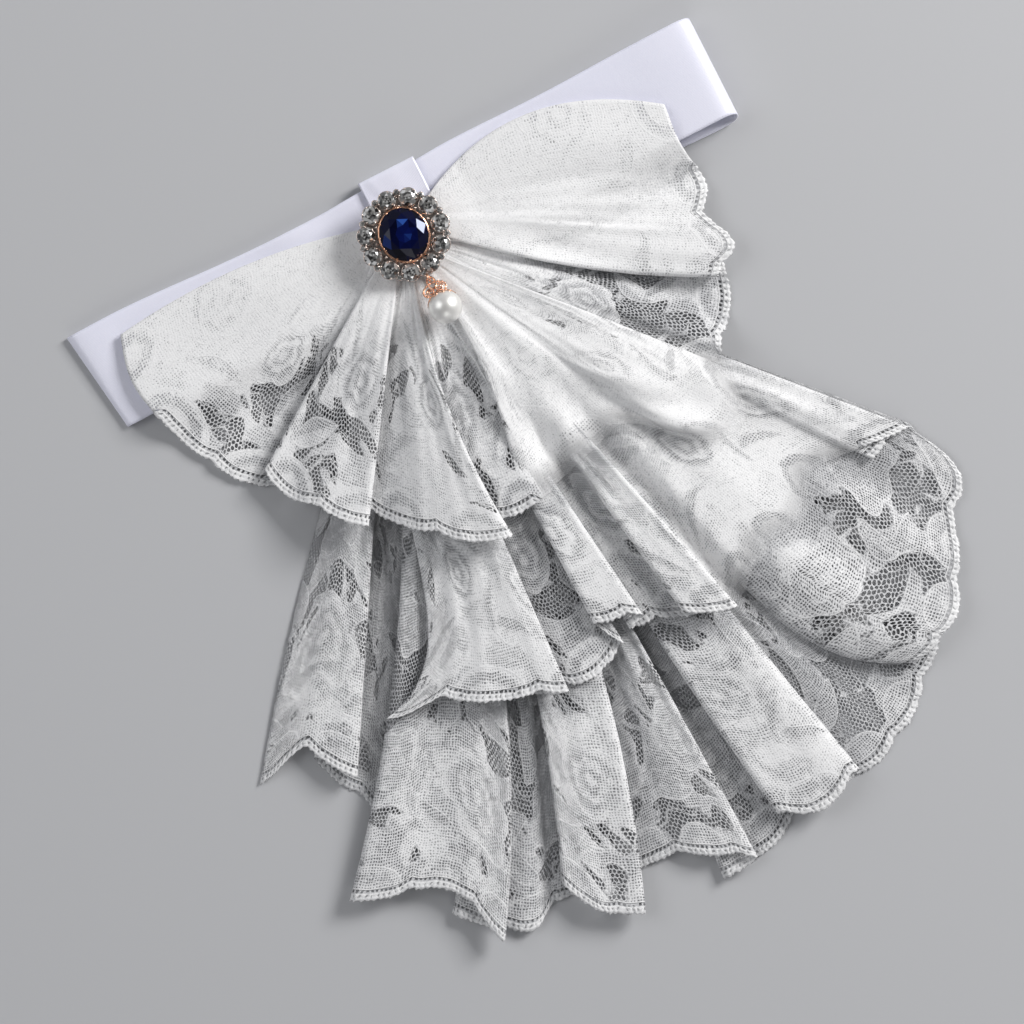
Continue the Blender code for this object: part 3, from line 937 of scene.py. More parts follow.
WALL = 1.0  # thickness of the solids' cloth walls
LAY_GAP = 0.6  # between the heights of a frill and of what it lies on
GATHER_LIFT = 0.35  # share of a fold's height that is left at the gathered edge
FULL_LIFT_AT = 0.5  # share of the way down where a fold has its whole height
TURN_LENGTH = 3.0  # stretch beside a turned edge that bends with it
TURN_SHARE = 0.4  # most of a fold's leg that such a stretch takes up
LACE_THICKNESS = 0.3
SATIN_THICKNESS = 0.35
CLOSE_GAP = 0.5  # between the middles of two layers that lie close
CLOSE_LIFT = 0.12  # share of a fold's height that is left where it lies close
HEM_SAMPLES = 4001  # points at which a hem is measured
STRAY_REACH = 10.0  # by which a frill's reaches are more than its depth


def spline(controls: Array, places: Array) -> Array:
    """Points of the uniform quadratic B-spline through the control rows.

    Place i + u, with u from 0 to 1, lies on the span round control row i, from the middle of the leg
    before it to the middle of the leg after it. The first and last rows are reached exactly.

    Args:
        controls: rows of any number of values.
        places: places along them.

    Returns:
        A row of values for each place.
    """
    first = 2 * controls[:1] - controls[1:2]
    last = 2 * controls[-1:] - controls[-2:-1]
    padded = np.vstack([first, controls, last])
    span = np.minimum(places.astype(int), len(controls) - 1)
    u = (places - span)[:, None]
    before, here, after = padded[span], padded[span + 1], padded[span + 2]
    return 0.5 * ((1 - u) ** 2 * before + (1 + 2 * u - 2 * u**2) * here + u**2 * after)


def closed_spline(loop: Array, per_row: int) -> Array:
    """Points of the closed quadratic B-spline through a loop of rows, some for each row."""
    controls = np.vstack([loop[-1:], loop, loop[:1]])
    return spline(controls, np.arange(per_row, per_row * (len(loop) + 1)) / per_row)


def bilinear(heights: Array, column: Array, row: Array) -> Array:
    """Values between a grid's points.

    Args:
        heights: the grid.
        column: places along its first axis, in cells.
        row: places along its second axis.

    Returns:
        A value for each place.
    """
    i = np.clip(column.astype(int), 0, heights.shape[0] - 2)
    j = np.clip(row.astype(int), 0, heights.shape[1] - 2)
    u, v = np.clip(column - i, 0, 1), np.clip(row - j, 0, 1)
    near = heights[i, j] * (1 - u) + heights[i + 1, j] * u
    far = heights[i, j + 1] * (1 - u) + heights[i + 1, j + 1] * u
    return near * (1 - v) + far * v


@dataclass
class Pile:
    """How high the next layer of cloth has to lie, on a grid over the whole collar."""

    cell: float = 2.0
    corner: tuple = (-120.0, -216.0)
    cells: tuple = (124, 124)
    bridge: int = 2  # cells that the next layer reaches out past what it lies on
    finer: int = 3  # samples of a wall to one point of its grid
    heights: Array = field(init=False)
    smooth: Array = field(init=False)
    close: Array = field(init=False)

    def __post_init__(self) -> None:
        """Starts with the bare surface."""
        self.heights = np.full(self.cells, WALL / 2)
        self.smooth = self.close = self.heights

    def place(self, x: Array, y: Array) -> tuple[Array, Array]:
        """Grid coordinates of points."""
        return (x - self.corner[0]) / self.cell, (y - self.corner[1]) / self.cell

    def add(self, grid: Array) -> None:
        """Lays a wall on the pile: each cell keeps the greatest height, then cells are spread and
        averaged.

        Args:
            grid: points of the wall's middle surface.
        """
        rows = np.linspace(0, grid.shape[0] - 1, grid.shape[0] * self.finer)
        columns = np.linspace(0, grid.shape[1] - 1, grid.shape[1] * self.finer)
        r, c = np.meshgrid(rows, columns, indexing="ij")
        x, y, z = (bilinear(grid[..., axis], r, c) for axis in range(3))
        i, j = (np.rint(place).astype(int) for place in self.place(x, y))
        np.maximum.at(self.heights, (i, j), z + WALL + LAY_GAP)
        self.smooth = self.spread(np.max, self.heights, self.bridge)
        self.smooth = self.spread(np.mean, self.smooth, self.bridge)
        self.close = self.spread(np.mean, self.heights, 1) - WALL - LAY_GAP

    def spread(self, combine: Callable, heights: Array, out: int) -> Array:
        """Combines each cell with its neighbours.

        Args:
            combine: what makes one number of many.
            heights: the cells.
            out: how many cells away a neighbour may be, along either axis.

        Returns:
            The combined cells.
        """
        wide = np.pad(heights, out, mode="edge")
        nx, ny = heights.shape
        steps = range(2 * out + 1)
        return combine([wide[i : i + nx, j : j + ny] for i in steps for j in steps], axis=0)

    def height(self, x: Array, y: Array) -> Array:
        """Lowest height of the middle of a wall that lies here."""
        return bilinear(self.smooth, *self.place(x, y))

    def top(self, x: Array, y: Array) -> Array:
        """Height of the middle of the highest cloth here."""
        return bilinear(self.close, *self.place(x, y))


def polar(centre: tuple, radii: tuple, bearing: Array) -> Array:
    """Points at bearings round a centre."""
    angle = np.radians(bearing)
    return np.stack([centre[0] + radii[0] * np.sin(angle), centre[1] - radii[1] * np.cos(angle)], -1)


# The lace's design.


class Kind(Enum):
    """What a motif is."""

    ROSE = "rose"
    LEAF = "leaf"
    WINDOW = "window"


class Motif(NamedTuple):
    """A motif of the lace, placed on the strip in millimetres: u along the hem and v in from it."""

    kind: Kind
    u: float
    v: float
    size: float  # a rose's radius, or the length of a leaf or window
    turn: float  # degrees from the hem's direction
    parts: float  # a rose's petals, or the width of a leaf or window
    bend: float = 0.0  # how far the tips of a leaf or window bend sideways


def slats(u: float, v: float, turn: float, count: int, size: float, width: float) -> tuple[Motif, ...]:
    """Narrow windows side by side, each one tenth shorter than the first and turned 7 degrees further
    than the one before.

    Args:
        u: of the middle of the row.
        v: of the same.
        turn: of the first window, in degrees from the hem's direction.
        count: how many windows.
        size: length of the first.
        width: of each.

    Returns:
        The windows.
    """
    made = []
    angle = math.radians(turn)
    for k in range(count):
        step = (k - (count - 1) / 2) * width * 1.45
        place = (u - step * math.sin(angle), v + step * math.cos(angle))
        made.append(Motif(Kind.WINDOW, *place, size * (1 - 0.1 * k), turn + 7 * k, width, 1.6))
    return tuple(made)


FAR = 50.0  # stands for no line near


def lens(along: Array, across: Array, motif: Motif) -> Array:
    """Distance to the edge of a lens whose half width is w(1 - (2a/L)^2) / 2, below 0 inside."""
    return np.abs(across) - motif.parts / 2 * (1 - (2 * along / motif.size) ** 2)


@dataclass
class LaceFields:
    """Signed distances in millimetres, and the cloth's density, at points of the strip."""

    net: Array  # to open net, below 0 inside
    density: Array  # of the cloth, from 0 to 1
    outline: Array  # to the motifs, below 0 inside
    inner: Array  # to their inner outlines
    rib: Array  # to their ribs

    def take(self, outline: Array, inner: Array, rib: Array, density: Array) -> None:
        """Adds a motif. Where motifs overlap, a point belongs to the one that it lies deepest in.

        Args:
            outline: distance to its outline, below 0 inside.
            inner: to its inner outline.
            rib: to its ribs.
            density: of its cloth.
        """
        nearer = outline < self.outline
        self.density = np.where(nearer & (outline < 0.3), density, self.density)
        self.inner = np.where(nearer, inner, self.inner)
        self.rib = np.where(nearer, rib, self.rib)
        self.outline = np.minimum(self.outline, outline)

    def rose(self, r: Array, angle: Array, motif: Motif) -> None:
        """Adds a rose. Its edge is a circle with a cusp between petals, R(0.82 + 0.18 |cos(n a / 2)|).
        A smaller ring of petals stands inside it, turned by half a petal, round an eye. Each petal is
        dense at its rim and sheer towards the middle.

        Args:
            r: distances from its middle.
            angle: bearings from its middle, in radians.
            motif: the rose.
        """
        n, radius = motif.parts, motif.size
        beat = n * (angle - math.radians(motif.turn)) / 2
        outer = radius * (0.82 + 0.18 * np.abs(np.cos(beat)))
        middle = radius * (0.46 + 0.12 * np.abs(np.sin(beat)))
        eye = 0.16 * radius
        past_middle = r > middle
        spread = np.where(past_middle, (r - middle) / (outer - middle), (r - eye) / (middle - eye))
        density = 0.3 + 0.75 * smooth_share(spread * 1.25 - 0.15)
        density = np.where(r < eye, 1.0, density)
        between = 2 / n * r * np.where(past_middle, np.cos(beat), np.sin(beat))
        self.take(r - outer, np.where(r > 0.3 * radius, r - middle, eye - r), between, density)

    def leaf(self, along: Array, across: Array, motif: Motif) -> None:
        """Adds a leaf: a lens with a midrib, one half sheer, and slanting ribs.

        Args:
            along: millimetres along it from its middle.
            across: millimetres across it from its midrib.
            motif: the leaf.
        """
        slant = along - 0.7 * np.abs(across)
        pitch = motif.size / 7
        ribs = pitch / math.tau * 2 * np.sin(math.pi * slant / pitch)
        density = np.where(across > 0, 0.42, 0.95)
        self.take(lens(along, across, motif), across, np.where(across > 0, ribs, FAR), density)

    def window(self, along: Array, across: Array, motif: Motif) -> None:
        """Opens a window of net, a lens."""
        self.net = np.minimum(self.net, lens(along, across, motif) * 0.8)


@dataclass(frozen=True)
class LaceDesign:
    """A floral lace that repeats along the strip, and again in from the hem with a half shift."""

    period: tuple = (66.0, 84.0)
    ground_pitch: float = 19.0  # of the slow changes in the ground's density
    shell_radius: float = 8.2
    shell_middle: float = 2.0  # in from the hem
    shell_ribs: int = 7
    corner_window: tuple = (10.5, 10.5)  # its middle: along from a scallop's, and in from the hem
    bar_pitch: float = 7.5
    bar_width: float = 1.9
    motifs: tuple = (
        Motif(Kind.ROSE, 16, 30, 12.5, 12, 6),
        Motif(Kind.ROSE, 49, 38, 10.5, 40, 5),
        Motif(Kind.ROSE, 18, 67, 10.5, 70, 6),
        Motif(Kind.ROSE, 52, 75, 8.8, 20, 5),
        Motif(Kind.LEAF, 34, 20, 19, 28, 7.0, 2.0),
        Motif(Kind.LEAF, 0, 19, 17, -38, 6.5, -2.0),
        Motif(Kind.LEAF, 63, 27, 16, 62, 6.0, 1.6),
        Motif(Kind.LEAF, 34, 51, 19, -48, 7.5, 2.2),
        Motif(Kind.LEAF, 1, 50, 18, 82, 6.5, -2.0),
        Motif(Kind.LEAF, 36, 68, 17, 64, 6.5, 2.0),
        Motif(Kind.LEAF, 4, 78, 15, 30, 6.0, -1.6),
        Motif(Kind.WINDOW, 30, 35, 19, 74, 9.0, 2.5),
        Motif(Kind.WINDOW, 14, 15.5, 17, 4, 7.5, -2.5),
        Motif(Kind.WINDOW, 52, 22, 19, -16, 9.0, 2.5),
        Motif(Kind.WINDOW, 0, 34, 15, 100, 7.5, 2.0),
        Motif(Kind.WINDOW, 19, 49, 22, 8, 9.0, -3.0),
        Motif(Kind.WINDOW, 51, 57, 20, 12, 10.0, 3.0),
        Motif(Kind.WINDOW, 27, 79, 18, -30, 8.0, 2.0),
        Motif(Kind.WINDOW, 65, 66, 16, 98, 8.0, 2.0),
        *slats(37, 10, 62, 4, 10.0, 2.6),
        *slats(62, 43, -20, 4, 9.0, 2.4),
        *slats(40, 80, 30, 3, 10.0, 2.6),
    )

    def ground(self, u: Array, v: Array) -> tuple[Array, Array]:
        """The ground between the motifs, from sine waves that cross at odd angles.

        Args:
            u: millimetres along the hem.
            v: millimetres in from it.

        Returns:
            Its density, from 0.55 to 1, and roughly the millimetres into its denser patches, below 0
            outside them.
        """
        p = math.tau / self.ground_pitch
        total = np.sin(p * (u + 0.6 * v)) + np.sin(p * (0.7 * u - 1.1 * v) + 1.3)
        total += 0.7 * np.sin(p * (1.9 * u + 0.3 * v) + 4.0) + 0.7 * np.sin(p * (0.4 * u + 1.7 * v) + 2.2)
        return 0.55 + 0.45 * smooth_share(0.5 + 1.6 * total), 2.0 * total

    def fields(
        self, u: Array, v: Array, beat: Array, fullness: Array, sheer: float
    ) -> tuple[Array, Array]:
        """Where the lace is open, dense and corded.

        Args:
            u: millimetres along the hem.
            v: millimetres in from it.
            beat: millimetres along the hem from the middle of the nearest scallop.
            fullness: above 0 where there is more cloth than elsewhere, below 0 where there is more net.
            sheer: how much less dense the cloth is all over.

        Returns:
            The two vectors at each point: distance to open net, density and distance into the denser
            patches; distances to outlines, inner outlines and ribs.
        """
        wide, deep = self.period
        sway_u = u + 1.7 * np.sin(v / 9.1 + u / 31) + 0.8 * np.sin(v / 4.3 + 1)
        sway_v = v + 1.5 * np.sin(u / 8.3 + 2) + 0.7 * np.sin(u / 4.9 + v / 13)
        tier = np.floor(sway_v / deep)
        v_in = sway_v - tier * deep
        u_in = sway_u + tier * wide / 2
        far = np.full(u.shape, FAR)
        thick, patch = self.ground(u, v)
        made = LaceFields(far, thick + 0.5 * fullness, far, far, far)
        for motif in self.motifs:
            for turn in (-1, 0, 1):
                du = (u_in - motif.u - turn * wide / 2 + wide / 2) % wide - wide / 2
                self.draw(made, motif, du, v_in - motif.v - turn * deep)
        self.shells(made, beat, v)
        made.net = np.minimum(made.net, self.halo(u, v, made.outline))
        made.net = np.maximum(made.net, self.bars(u, v))
        wider = np.where(fullness > 0, 9 * fullness, 4 * fullness)
        open_net = np.maximum(made.net + wider, -made.outline * 0.9)
        density = np.clip(made.density - sheer + 0.45 * fullness, 0.2, 1)
        cut = np.stack([open_net, density, patch], -1)
        cord = np.stack([made.outline, made.inner, made.rib], -1)
        return np.clip(cut, -FAR, FAR), np.clip(cord, -FAR, FAR)

    def halo(self, u: Array, v: Array, outline: Array) -> Array:
        """Distance to bits of open net just outside the motifs, where a wave is high enough."""
        wave = np.sin(u / 4.3 + v / 7.1) + np.sin(v / 5.2 - u / 9.3 + 1) + 0.6 * np.sin(u / 2.6 - v / 3.3)
        return np.maximum(np.abs(outline - 1.6) - 1.0, 2.0 * (0.55 - wave))

    def bars(self, u: Array, v: Array) -> Array:
        """Strips of cloth across the windows: the zero lines of a winding wave, where another wave is
        above 0.

        Args:
            u: millimetres along the hem.
            v: millimetres in from it.

        Returns:
            Millimetres into them, above 0 inside.
        """
        wind = u * 0.8 + v * 0.6 + 3.2 * np.sin(v / 5.3 + u / 17) + 1.6 * np.sin(u / 3.9 - v / 11)
        away = self.bar_pitch / math.pi * np.abs(np.sin(math.pi * wind / self.bar_pitch))
        gate = np.sin(u / 6.1 - v / 9.7 + 2) + np.sin(v / 7.9 + u / 13.3) + 0.5
        return np.minimum(self.bar_width / 2 - away, 1.5 * gate)

    def draw(self, made: LaceFields, motif: Motif, du: Array, dv: Array) -> None:
        """Adds one motif to the fields.

        Args:
            made: the fields.
            motif: the motif.
            du: millimetres along the hem from its middle.
            dv: millimetres in from it.
        """
        if motif.kind is Kind.ROSE:
            made.rose(np.hypot(du, dv), np.arctan2(dv, du), motif)
            return
        c, s = math.cos(math.radians(motif.turn)), math.sin(math.radians(motif.turn))
        along, across = du * c + dv * s, dv * c - du * s
        across = across + motif.bend * np.clip(2 * along / motif.size, -1.5, 1.5) ** 2 - motif.bend / 2
        (made.leaf if motif.kind is Kind.LEAF else made.window)(along, across, motif)

    def shells(self, made: LaceFields, beat: Array, v: Array) -> None:
        """Adds a shell in each scallop: a half disc with a sheer band and ribs that fan out from its
        middle, and a small window over each corner between scallops.

        Args:
            made: the fields.
            beat: millimetres along the hem from the middle of the nearest scallop.
            v: millimetres in from the hem.
        """
        r, angle = np.hypot(beat, v - self.shell_middle), np.arctan2(v - self.shell_middle, beat)
        radius = self.shell_radius
        band = (r > 0.5 * radius) & (r < 0.85 * radius)
        ribs = r * np.sin(self.shell_ribs * angle) / self.shell_ribs
        density = np.where(band, 0.4, 1.0)
        made.take(r - radius, r - 0.5 * radius, np.where(band, ribs, FAR), density)
        aside, above = self.corner_window[0] - np.abs(beat), v - self.corner_window[1]
        made.net = np.minimum(made.net, np.hypot(aside * 1.1, above * 0.8) - 3.0)


# The pieces of cloth.


class Spot(NamedTuple):
    """A place on a frill's strip with more cloth (above 0) or more net (below 0) than elsewhere."""

    u: float
    v: float
    radius: float
    amount: float


class Dent(NamedTuple):
    """A soft hollow (below 0) or swelling of a frill, as a Gaussian on its strip."""

    u: float
    v: float
    width: float  # along the hem
    length: float  # in from it
    rise: float


class Stretch(NamedTuple):
    """A stretch of hem in millimetres, how close it settles on what lies below, and how plain its edge
    is, each from 0 to 1."""

    start: float
    end: float
    settle: float
    plain: float = 1.0


UPPER_CALM = (Stretch(-20, 26, 0.0), Stretch(222, 374, 1.0), Stretch(452, 500, 0.0))
UPPER_DENTS = (
    Dent(308, 18, 16, 12, 4.2), Dent(308, 18, 10, 8, -4.6), Dent(303, 6, 22, 3.5, 0.6),
    Dent(300, 34, 14, 5, 0.8),
    Dent(10, 40, 6, 20, 0.7), Dent(22, 30, 5, 20, -0.6), Dent(452, 34, 5, 20, -0.9),
    Dent(464, 34, 6, 20, 0.6), Dent(276, 40, 5, 25, 0.8), Dent(262, 40, 5, 25, -0.7),
)
MIDDLE_CALM = (Stretch(188, 258, 1.0), Stretch(232, 306, 0.75, 0.0))
MIDDLE_DENTS = (
    Dent(230, 30, 7, 20, -1.2), Dent(258, 30, 8, 20, 0.8), Dent(24, 28, 6, 16, -0.8),
    Dent(40, 24, 6, 16, 0.6),
)
LOWER_DENTS = (
    Dent(507, 40, 5, 20, 1.2), Dent(517, 34, 4, 20, -1.4),
    Dent(527, 24, 5, 14, 0.9), Dent(540, 22, 5, 12, -0.9), Dent(14, 26, 5, 20, -0.8),
    Dent(503, 14, 5, 9, 0.8), Dent(511, 12, 4, 9, -0.7), Dent(488, 40, 13, 70, -3.3),
    Dent(130, 24, 7, 20, -1.0), Dent(144, 20, 6, 18, 0.7), Dent(396, 30, 6, 30, 0.8),
    Dent(250, 20, 6, 20, -0.8),
)
UPPER_SPOTS = (
    Spot(10, 32, 22, 1.0), Spot(20, 60, 16, 1.0), Spot(462, 28, 26, 1.0), Spot(444, 52, 18, 0.8),
    Spot(276, 45, 26, 1.0), Spot(300, 20, 14, 0.8), Spot(262, 18, 12, 1.0), Spot(204, 34, 8, -0.7),
    Spot(372, 20, 16, -0.7), Spot(50, 28, 7, -0.6), Spot(97, 22, 8, -0.6), Spot(36, 12, 7, -0.7),
    Spot(424, 40, 20, 0.5), Spot(165, 20, 14, 0.4), Spot(340, 30, 14, 0.6),
)
MIDDLE_SPOTS = (
    Spot(230, 25, 34, 0.7), Spot(180, 32, 25, 0.2), Spot(129, 26, 18, 0.6), Spot(258, 35, 15, 0.5),
    Spot(35, 32, 24, 0.5), Spot(90, 24, 10, -0.3),
)
LOWER_SPOTS = (
    Spot(4, 61, 12, -0.8), Spot(114, 70, 13, -0.9), Spot(110, 57, 9, -0.8), Spot(536, 27, 12, -0.5),
    Spot(548, 19, 8, -0.4), Spot(442, 16, 14, -0.8), Spot(448, 30, 10, -0.6), Spot(201, 48, 10, -0.5),
    Spot(394, 22, 20, 0.6), Spot(508, 52, 10, 0.5), Spot(252, 42, 12, 0.6), Spot(303, 18, 10, -0.4),
    Spot(136, 24, 16, 0.3), Spot(20, 22, 12, 0.4), Spot(506, 42, 5, -0.6), Spot(510, 15, 5, -0.7),
    Spot(523, 9, 5, -0.6), Spot(498, 30, 6, -0.4),
)


@dataclass
class Frill:
    """A gathered strip of lace, laid in folds."""

    name: str
    folds: list
    pitch: float  # between points of the mesh at the hem
    rests_on: tuple
    fan_centre: tuple = (0.0, -18.0)  # x and y that the folds' bearings and reaches are counted from
    gather_centre: tuple = (0.0, -16.6)  # x and y of the middle of the gathered edge's arc
    gather_radii: tuple = (14.0, 0.5)  # of that arc, along X and Y
    design_shift: float = 0.0  # of the lace's design along the strip
    spots: tuple = ()
    dents: tuple = ()
    calm_stretches: tuple = ()
    sheer: float = 0.0  # by how much its cloth is less dense than the lace's design
    scallop_pitch: float = 21.0
    scallop_depth: float = 2.6
    stretch_fade: float = 6.0  # length of hem over which a calm stretch begins or ends
    wrinkle_waves: tuple = ((6.1, 1.4, 0.3), (9.7, -2.1, 1.9), (14.3, 1.1, 4.2), (23.0, -0.7, 2.6))
    wrinkle_depth: float = 0.04  # to its width
    wrinkle_limit: float = 0.45
    grid: Array = field(init=False)
    hem: Array = field(init=False)  # millimetres along the hem of each column
    beat: Array = field(init=False)  # those from the middle of the nearest scallop
    calm: Array = field(init=False)  # where the edge is plain, from 0 to 1
    settled: Array = field(init=False)  # where the cloth lies close on what is below it

    def controls(self) -> Array:
        """Control rows (bearing, reach, lift, gather, bow, flick) of the cross-section. A soft crease
        is one row. A turned edge is four: the cloth comes in, turns, and goes back on another level.

        Returns:
            The rows.
        """
        folds = self.folds
        plain = [np.array([f.bearing, f.reach, f.enter, f.gather, f.bow, f.flick]) for f in folds]
        rows = []
        for i, fold in enumerate(folds):
            here = plain[i]
            if fold.enter == fold.leave:
                rows.append(here)
                continue
            level = np.array([0, 0, fold.leave - fold.enter, 0, 0, 0])
            near = np.array(plain[i - 1 : i + 2])
            ends = polar((0, 0), (1, 1), near[:, 0]) * near[:, 1:2]
            back, ahead = (min(TURN_SHARE, TURN_LENGTH / math.dist(ends[1], ends[k])) for k in (0, 2))
            came = plain[i - 1] + np.array([0, 0, folds[i - 1].leave - folds[i - 1].enter, 0, 0, 0])
            rows += [here + (came - here) * back, here, here + level]
            rows.append(here + level + (plain[i + 1] - here - level) * ahead)
        return np.array(rows)

    def hem_points(self, rows: Array) -> Array:
        """Hem ends of columns, from rows that begin with their bearings and reaches."""
        angle = np.radians(rows[:, :1])
        return np.array(self.fan_centre) + rows[:, 1:2] * np.hstack([np.sin(angle), -np.cos(angle)])

    def measure(self) -> Array:
        """Spaces the columns evenly along the hem, and keeps their places on it.

        Returns:
            Bearing, reach, lift, gather, bow and flick of each column.
        """
        controls = self.controls()
        places = np.linspace(0.5, len(controls) - 0.5, HEM_SAMPLES)
        rows = spline(controls, places)
        profile = np.column_stack([self.hem_points(rows), rows[:, 2]])
        run = np.concatenate([[0], np.cumsum(np.linalg.norm(np.diff(profile, axis=0), axis=1))])
        self.hem = np.linspace(0, run[-1], round(run[-1] / self.pitch) + 1)
        return spline(controls, np.interp(self.hem, run, places))

    def scallop(self, rows: Array) -> Array:
        """Gives the hem its scallops, square roots of a sine, but for its calm stretches.

        Args:
            rows: the columns, whose reaches are changed.

        Returns:
            How closely each column settles at its hem, from 0 to 1.
        """
        wander = self.hem + 2.6 * np.sin(self.hem / 11.7) + 1.7 * np.sin(self.hem / 17.3 + 1)
        self.beat = wander % self.scallop_pitch - self.scallop_pitch / 2
        lobe = np.sqrt(np.abs(np.sin(math.pi * wander / self.scallop_pitch)))
        self.calm = np.zeros_like(self.hem)
        settled = np.zeros_like(self.hem)
        for stretch in self.calm_stretches:
            inside = smooth_share((self.hem - stretch.start) / self.stretch_fade)
            inside = inside * smooth_share((stretch.end - self.hem) / self.stretch_fade)
            self.calm = np.maximum(self.calm, inside * stretch.plain)
            settled = np.maximum(settled, inside * stretch.settle)
        rows[:, 1] += self.scallop_depth * (lobe - 0.7) * (1 - self.calm)
        return settled

    def plan(self, rows: Array, down: Array) -> Array:
        """The columns seen from above: straight lines from the gather to the hem, bent sideways by
        their bow, 4t(1 - t), and their flick, t^4(1 - t) over its greatest value, 0.08192.

        Args:
            rows: the columns.
            down: shares of the way down, t, as a column of them.

        Returns:
            x and y of each point.
        """
        bearing, _, _, gather, bow, flick = rows.T
        angle = np.radians(bearing)
        side = np.stack([np.cos(angle), np.sin(angle)], -1)
        gathered = polar(self.gather_centre, self.gather_radii, gather)
        t = down[..., None]
        bulge = bow[:, None] * t * (1 - t) / 0.25 + flick[:, None] * t**4 * (1 - t) / 0.08192
        return gathered + (self.hem_points(rows) - gathered) * t + side * bulge

    def lay(self, pile: Pile) -> None:
        """Works out the middle surface and lays it on the pile. The height is the pile's plus the
        fold's lift, which grows down from the gather, plus wrinkles, slow swells and dents.

        Args:
            pile: what lies below; this frill is added to it.
        """
        rows = self.measure()
        depth = rows[:, 1].mean() - STRAY_REACH
        down = np.linspace(0, 1, round(depth / self.pitch) + 1)[:, None]
        settled = self.scallop(rows)
        plan = self.plan(rows, down)
        reach, lift = rows[:, 1], rows[:, 2]
        share = GATHER_LIFT + (1 - GATHER_LIFT) * smooth_share(down / FULL_LIFT_AT)
        bare = pile.height(plan[..., 0], plan[..., 1]) + lift * share
        snug = pile.top(plan[..., 0], plan[..., 1]) + CLOSE_GAP + CLOSE_LIFT * lift
        pile.add(np.dstack([plan, bare]))
        self.settled = settled * smooth_share((down - 0.45) / 0.5)
        wrinkles = self.wrinkles(down) * (1 - 0.75 * self.calm)
        height = bare + (snug - bare) * self.settled + wrinkles + self.swell(plan)
        from_hem = (1 - down) * reach
        for dent in self.dents:
            away = ((self.hem - dent.u) / dent.width) ** 2 + ((from_hem - dent.v) / dent.length) ** 2
            height = height + dent.rise * np.exp(-away)
        self.grid = np.dstack([plan, np.maximum(height, LACE_THICKNESS / 2)])

    def wrinkles(self, down: Array) -> Array:
        """Small wrinkles that run down from the gather: sine waves along the hem, drifting sideways,
        each as deep as a fixed share of its width there, and fading towards the hem.

        Args:
            down: shares of the way down, as a column of them.

        Returns:
            The height that they add at each point.
        """
        u = self.hem[None, :]
        narrow = (0.12 + 0.88 * down) * (0.6 + 0.4 * smooth_share(down / 0.35))
        fade = 1 - 0.75 * smooth_share((down - 0.35) / 0.6)
        total = 0.0
        for pitch, drift, phase in self.wrinkle_waves:
            patch = 0.55 + 0.45 * np.sin(u / (pitch * 3.1) + 5 * down + phase)
            wave = np.sin(math.tau * u / pitch + drift * down * 3 + phase)
            total = total + self.wrinkle_depth * pitch * narrow * patch * wave
        return np.clip(fade * total, -self.wrinkle_limit, self.wrinkle_limit)

    def swell(self, plan: Array) -> Array:
        """Slow rises and hollows of cloth that doesn't lie quite flat, from three crossing waves."""
        x, y = plan[..., 0], plan[..., 1]
        return 0.09 * (np.sin(x / 7.3 + y / 19) + np.sin(y / 8.9 - x / 23 + 2) + np.sin((x + y) / 11 + 4))

    def fullness(self, from_hem: Array) -> Array:
        """How much more cloth than usual there is: each spot adds its amount, as a Gaussian, and so
        does the top of the frill.

        Args:
            from_hem: millimetres in from the hem, one for each point.

        Returns:
            The fullness, below 0 where there is more net.
        """
        total = np.zeros_like(from_hem)
        for spot in self.spots:
            away = (self.hem - spot.u) ** 2 + (from_hem - spot.v) ** 2
            total += spot.amount * np.exp(-away / spot.radius**2)
        return total + 0.8 * smooth_share((from_hem / from_hem[:1] - 0.62) / 0.3)

    def build(self, design: LaceDesign, finish: Finish, pile: Pile) -> None:
        """The frill's mesh, its strip coordinates and the fields of its lace.

        Args:
            design: the lace's design.
            finish: the lace.
            pile: all the cloth.
        """
        count, columns = self.grid.shape[:2]
        shape = Shape(self.grid.reshape(-1, 3), grid_faces(count, columns))
        piece = make_object(self.name, shape, finish)
        steps = np.linalg.norm(np.diff(self.grid[..., :2], axis=0), axis=-1)
        from_hem = np.vstack([np.cumsum(steps[::-1], axis=0)[::-1], np.zeros(columns)])
        along = np.broadcast_to(self.hem + self.design_shift, from_hem.shape)
        set_strip(piece.data, along, from_hem)
        beat = np.broadcast_to(self.beat, from_hem.shape)
        cut, cord = design.fields(along, from_hem, beat, self.fullness(from_hem), self.sheer)
        set_vector(piece.data, "lie", self.lie(from_hem, pile))
        set_vector(piece.data, "cut", cut)
        set_vector(piece.data, "cord", cord)
        thicken(piece, LACE_THICKNESS)
        settle(piece, "root", "lace", self.name.removesuffix("_lace"))

    def lie(self, from_hem: Array, pile: Pile) -> Array:
        """How the cloth lies.

        Args:
            from_hem: millimetres in from the hem, one for each point.
            pile: all the cloth.

        Returns:
            At each point: how plain the edge is, a painted shade for how deep the cloth lies among its
            folds, and how far its hem melts into what is below, all from 0 to 1.
        """
        above = pile.height(self.grid[..., 0], self.grid[..., 1]) - self.grid[..., 2] - WALL - LAY_GAP
        calm = np.broadcast_to(self.calm, from_hem.shape)
        crowd = smooth_share((from_hem / from_hem[:1] - 0.5) / 0.35)
        # Painted shade: darker where higher cloth lies near, less so towards the gather and where the cloth
        # settles
        painted_fold_shade = smooth_share((above - 0.3) / 5) * (1 - 0.6 * crowd) * (1 - self.settled)
        return np.stack([calm, painted_fold_shade, self.settled * calm], -1)


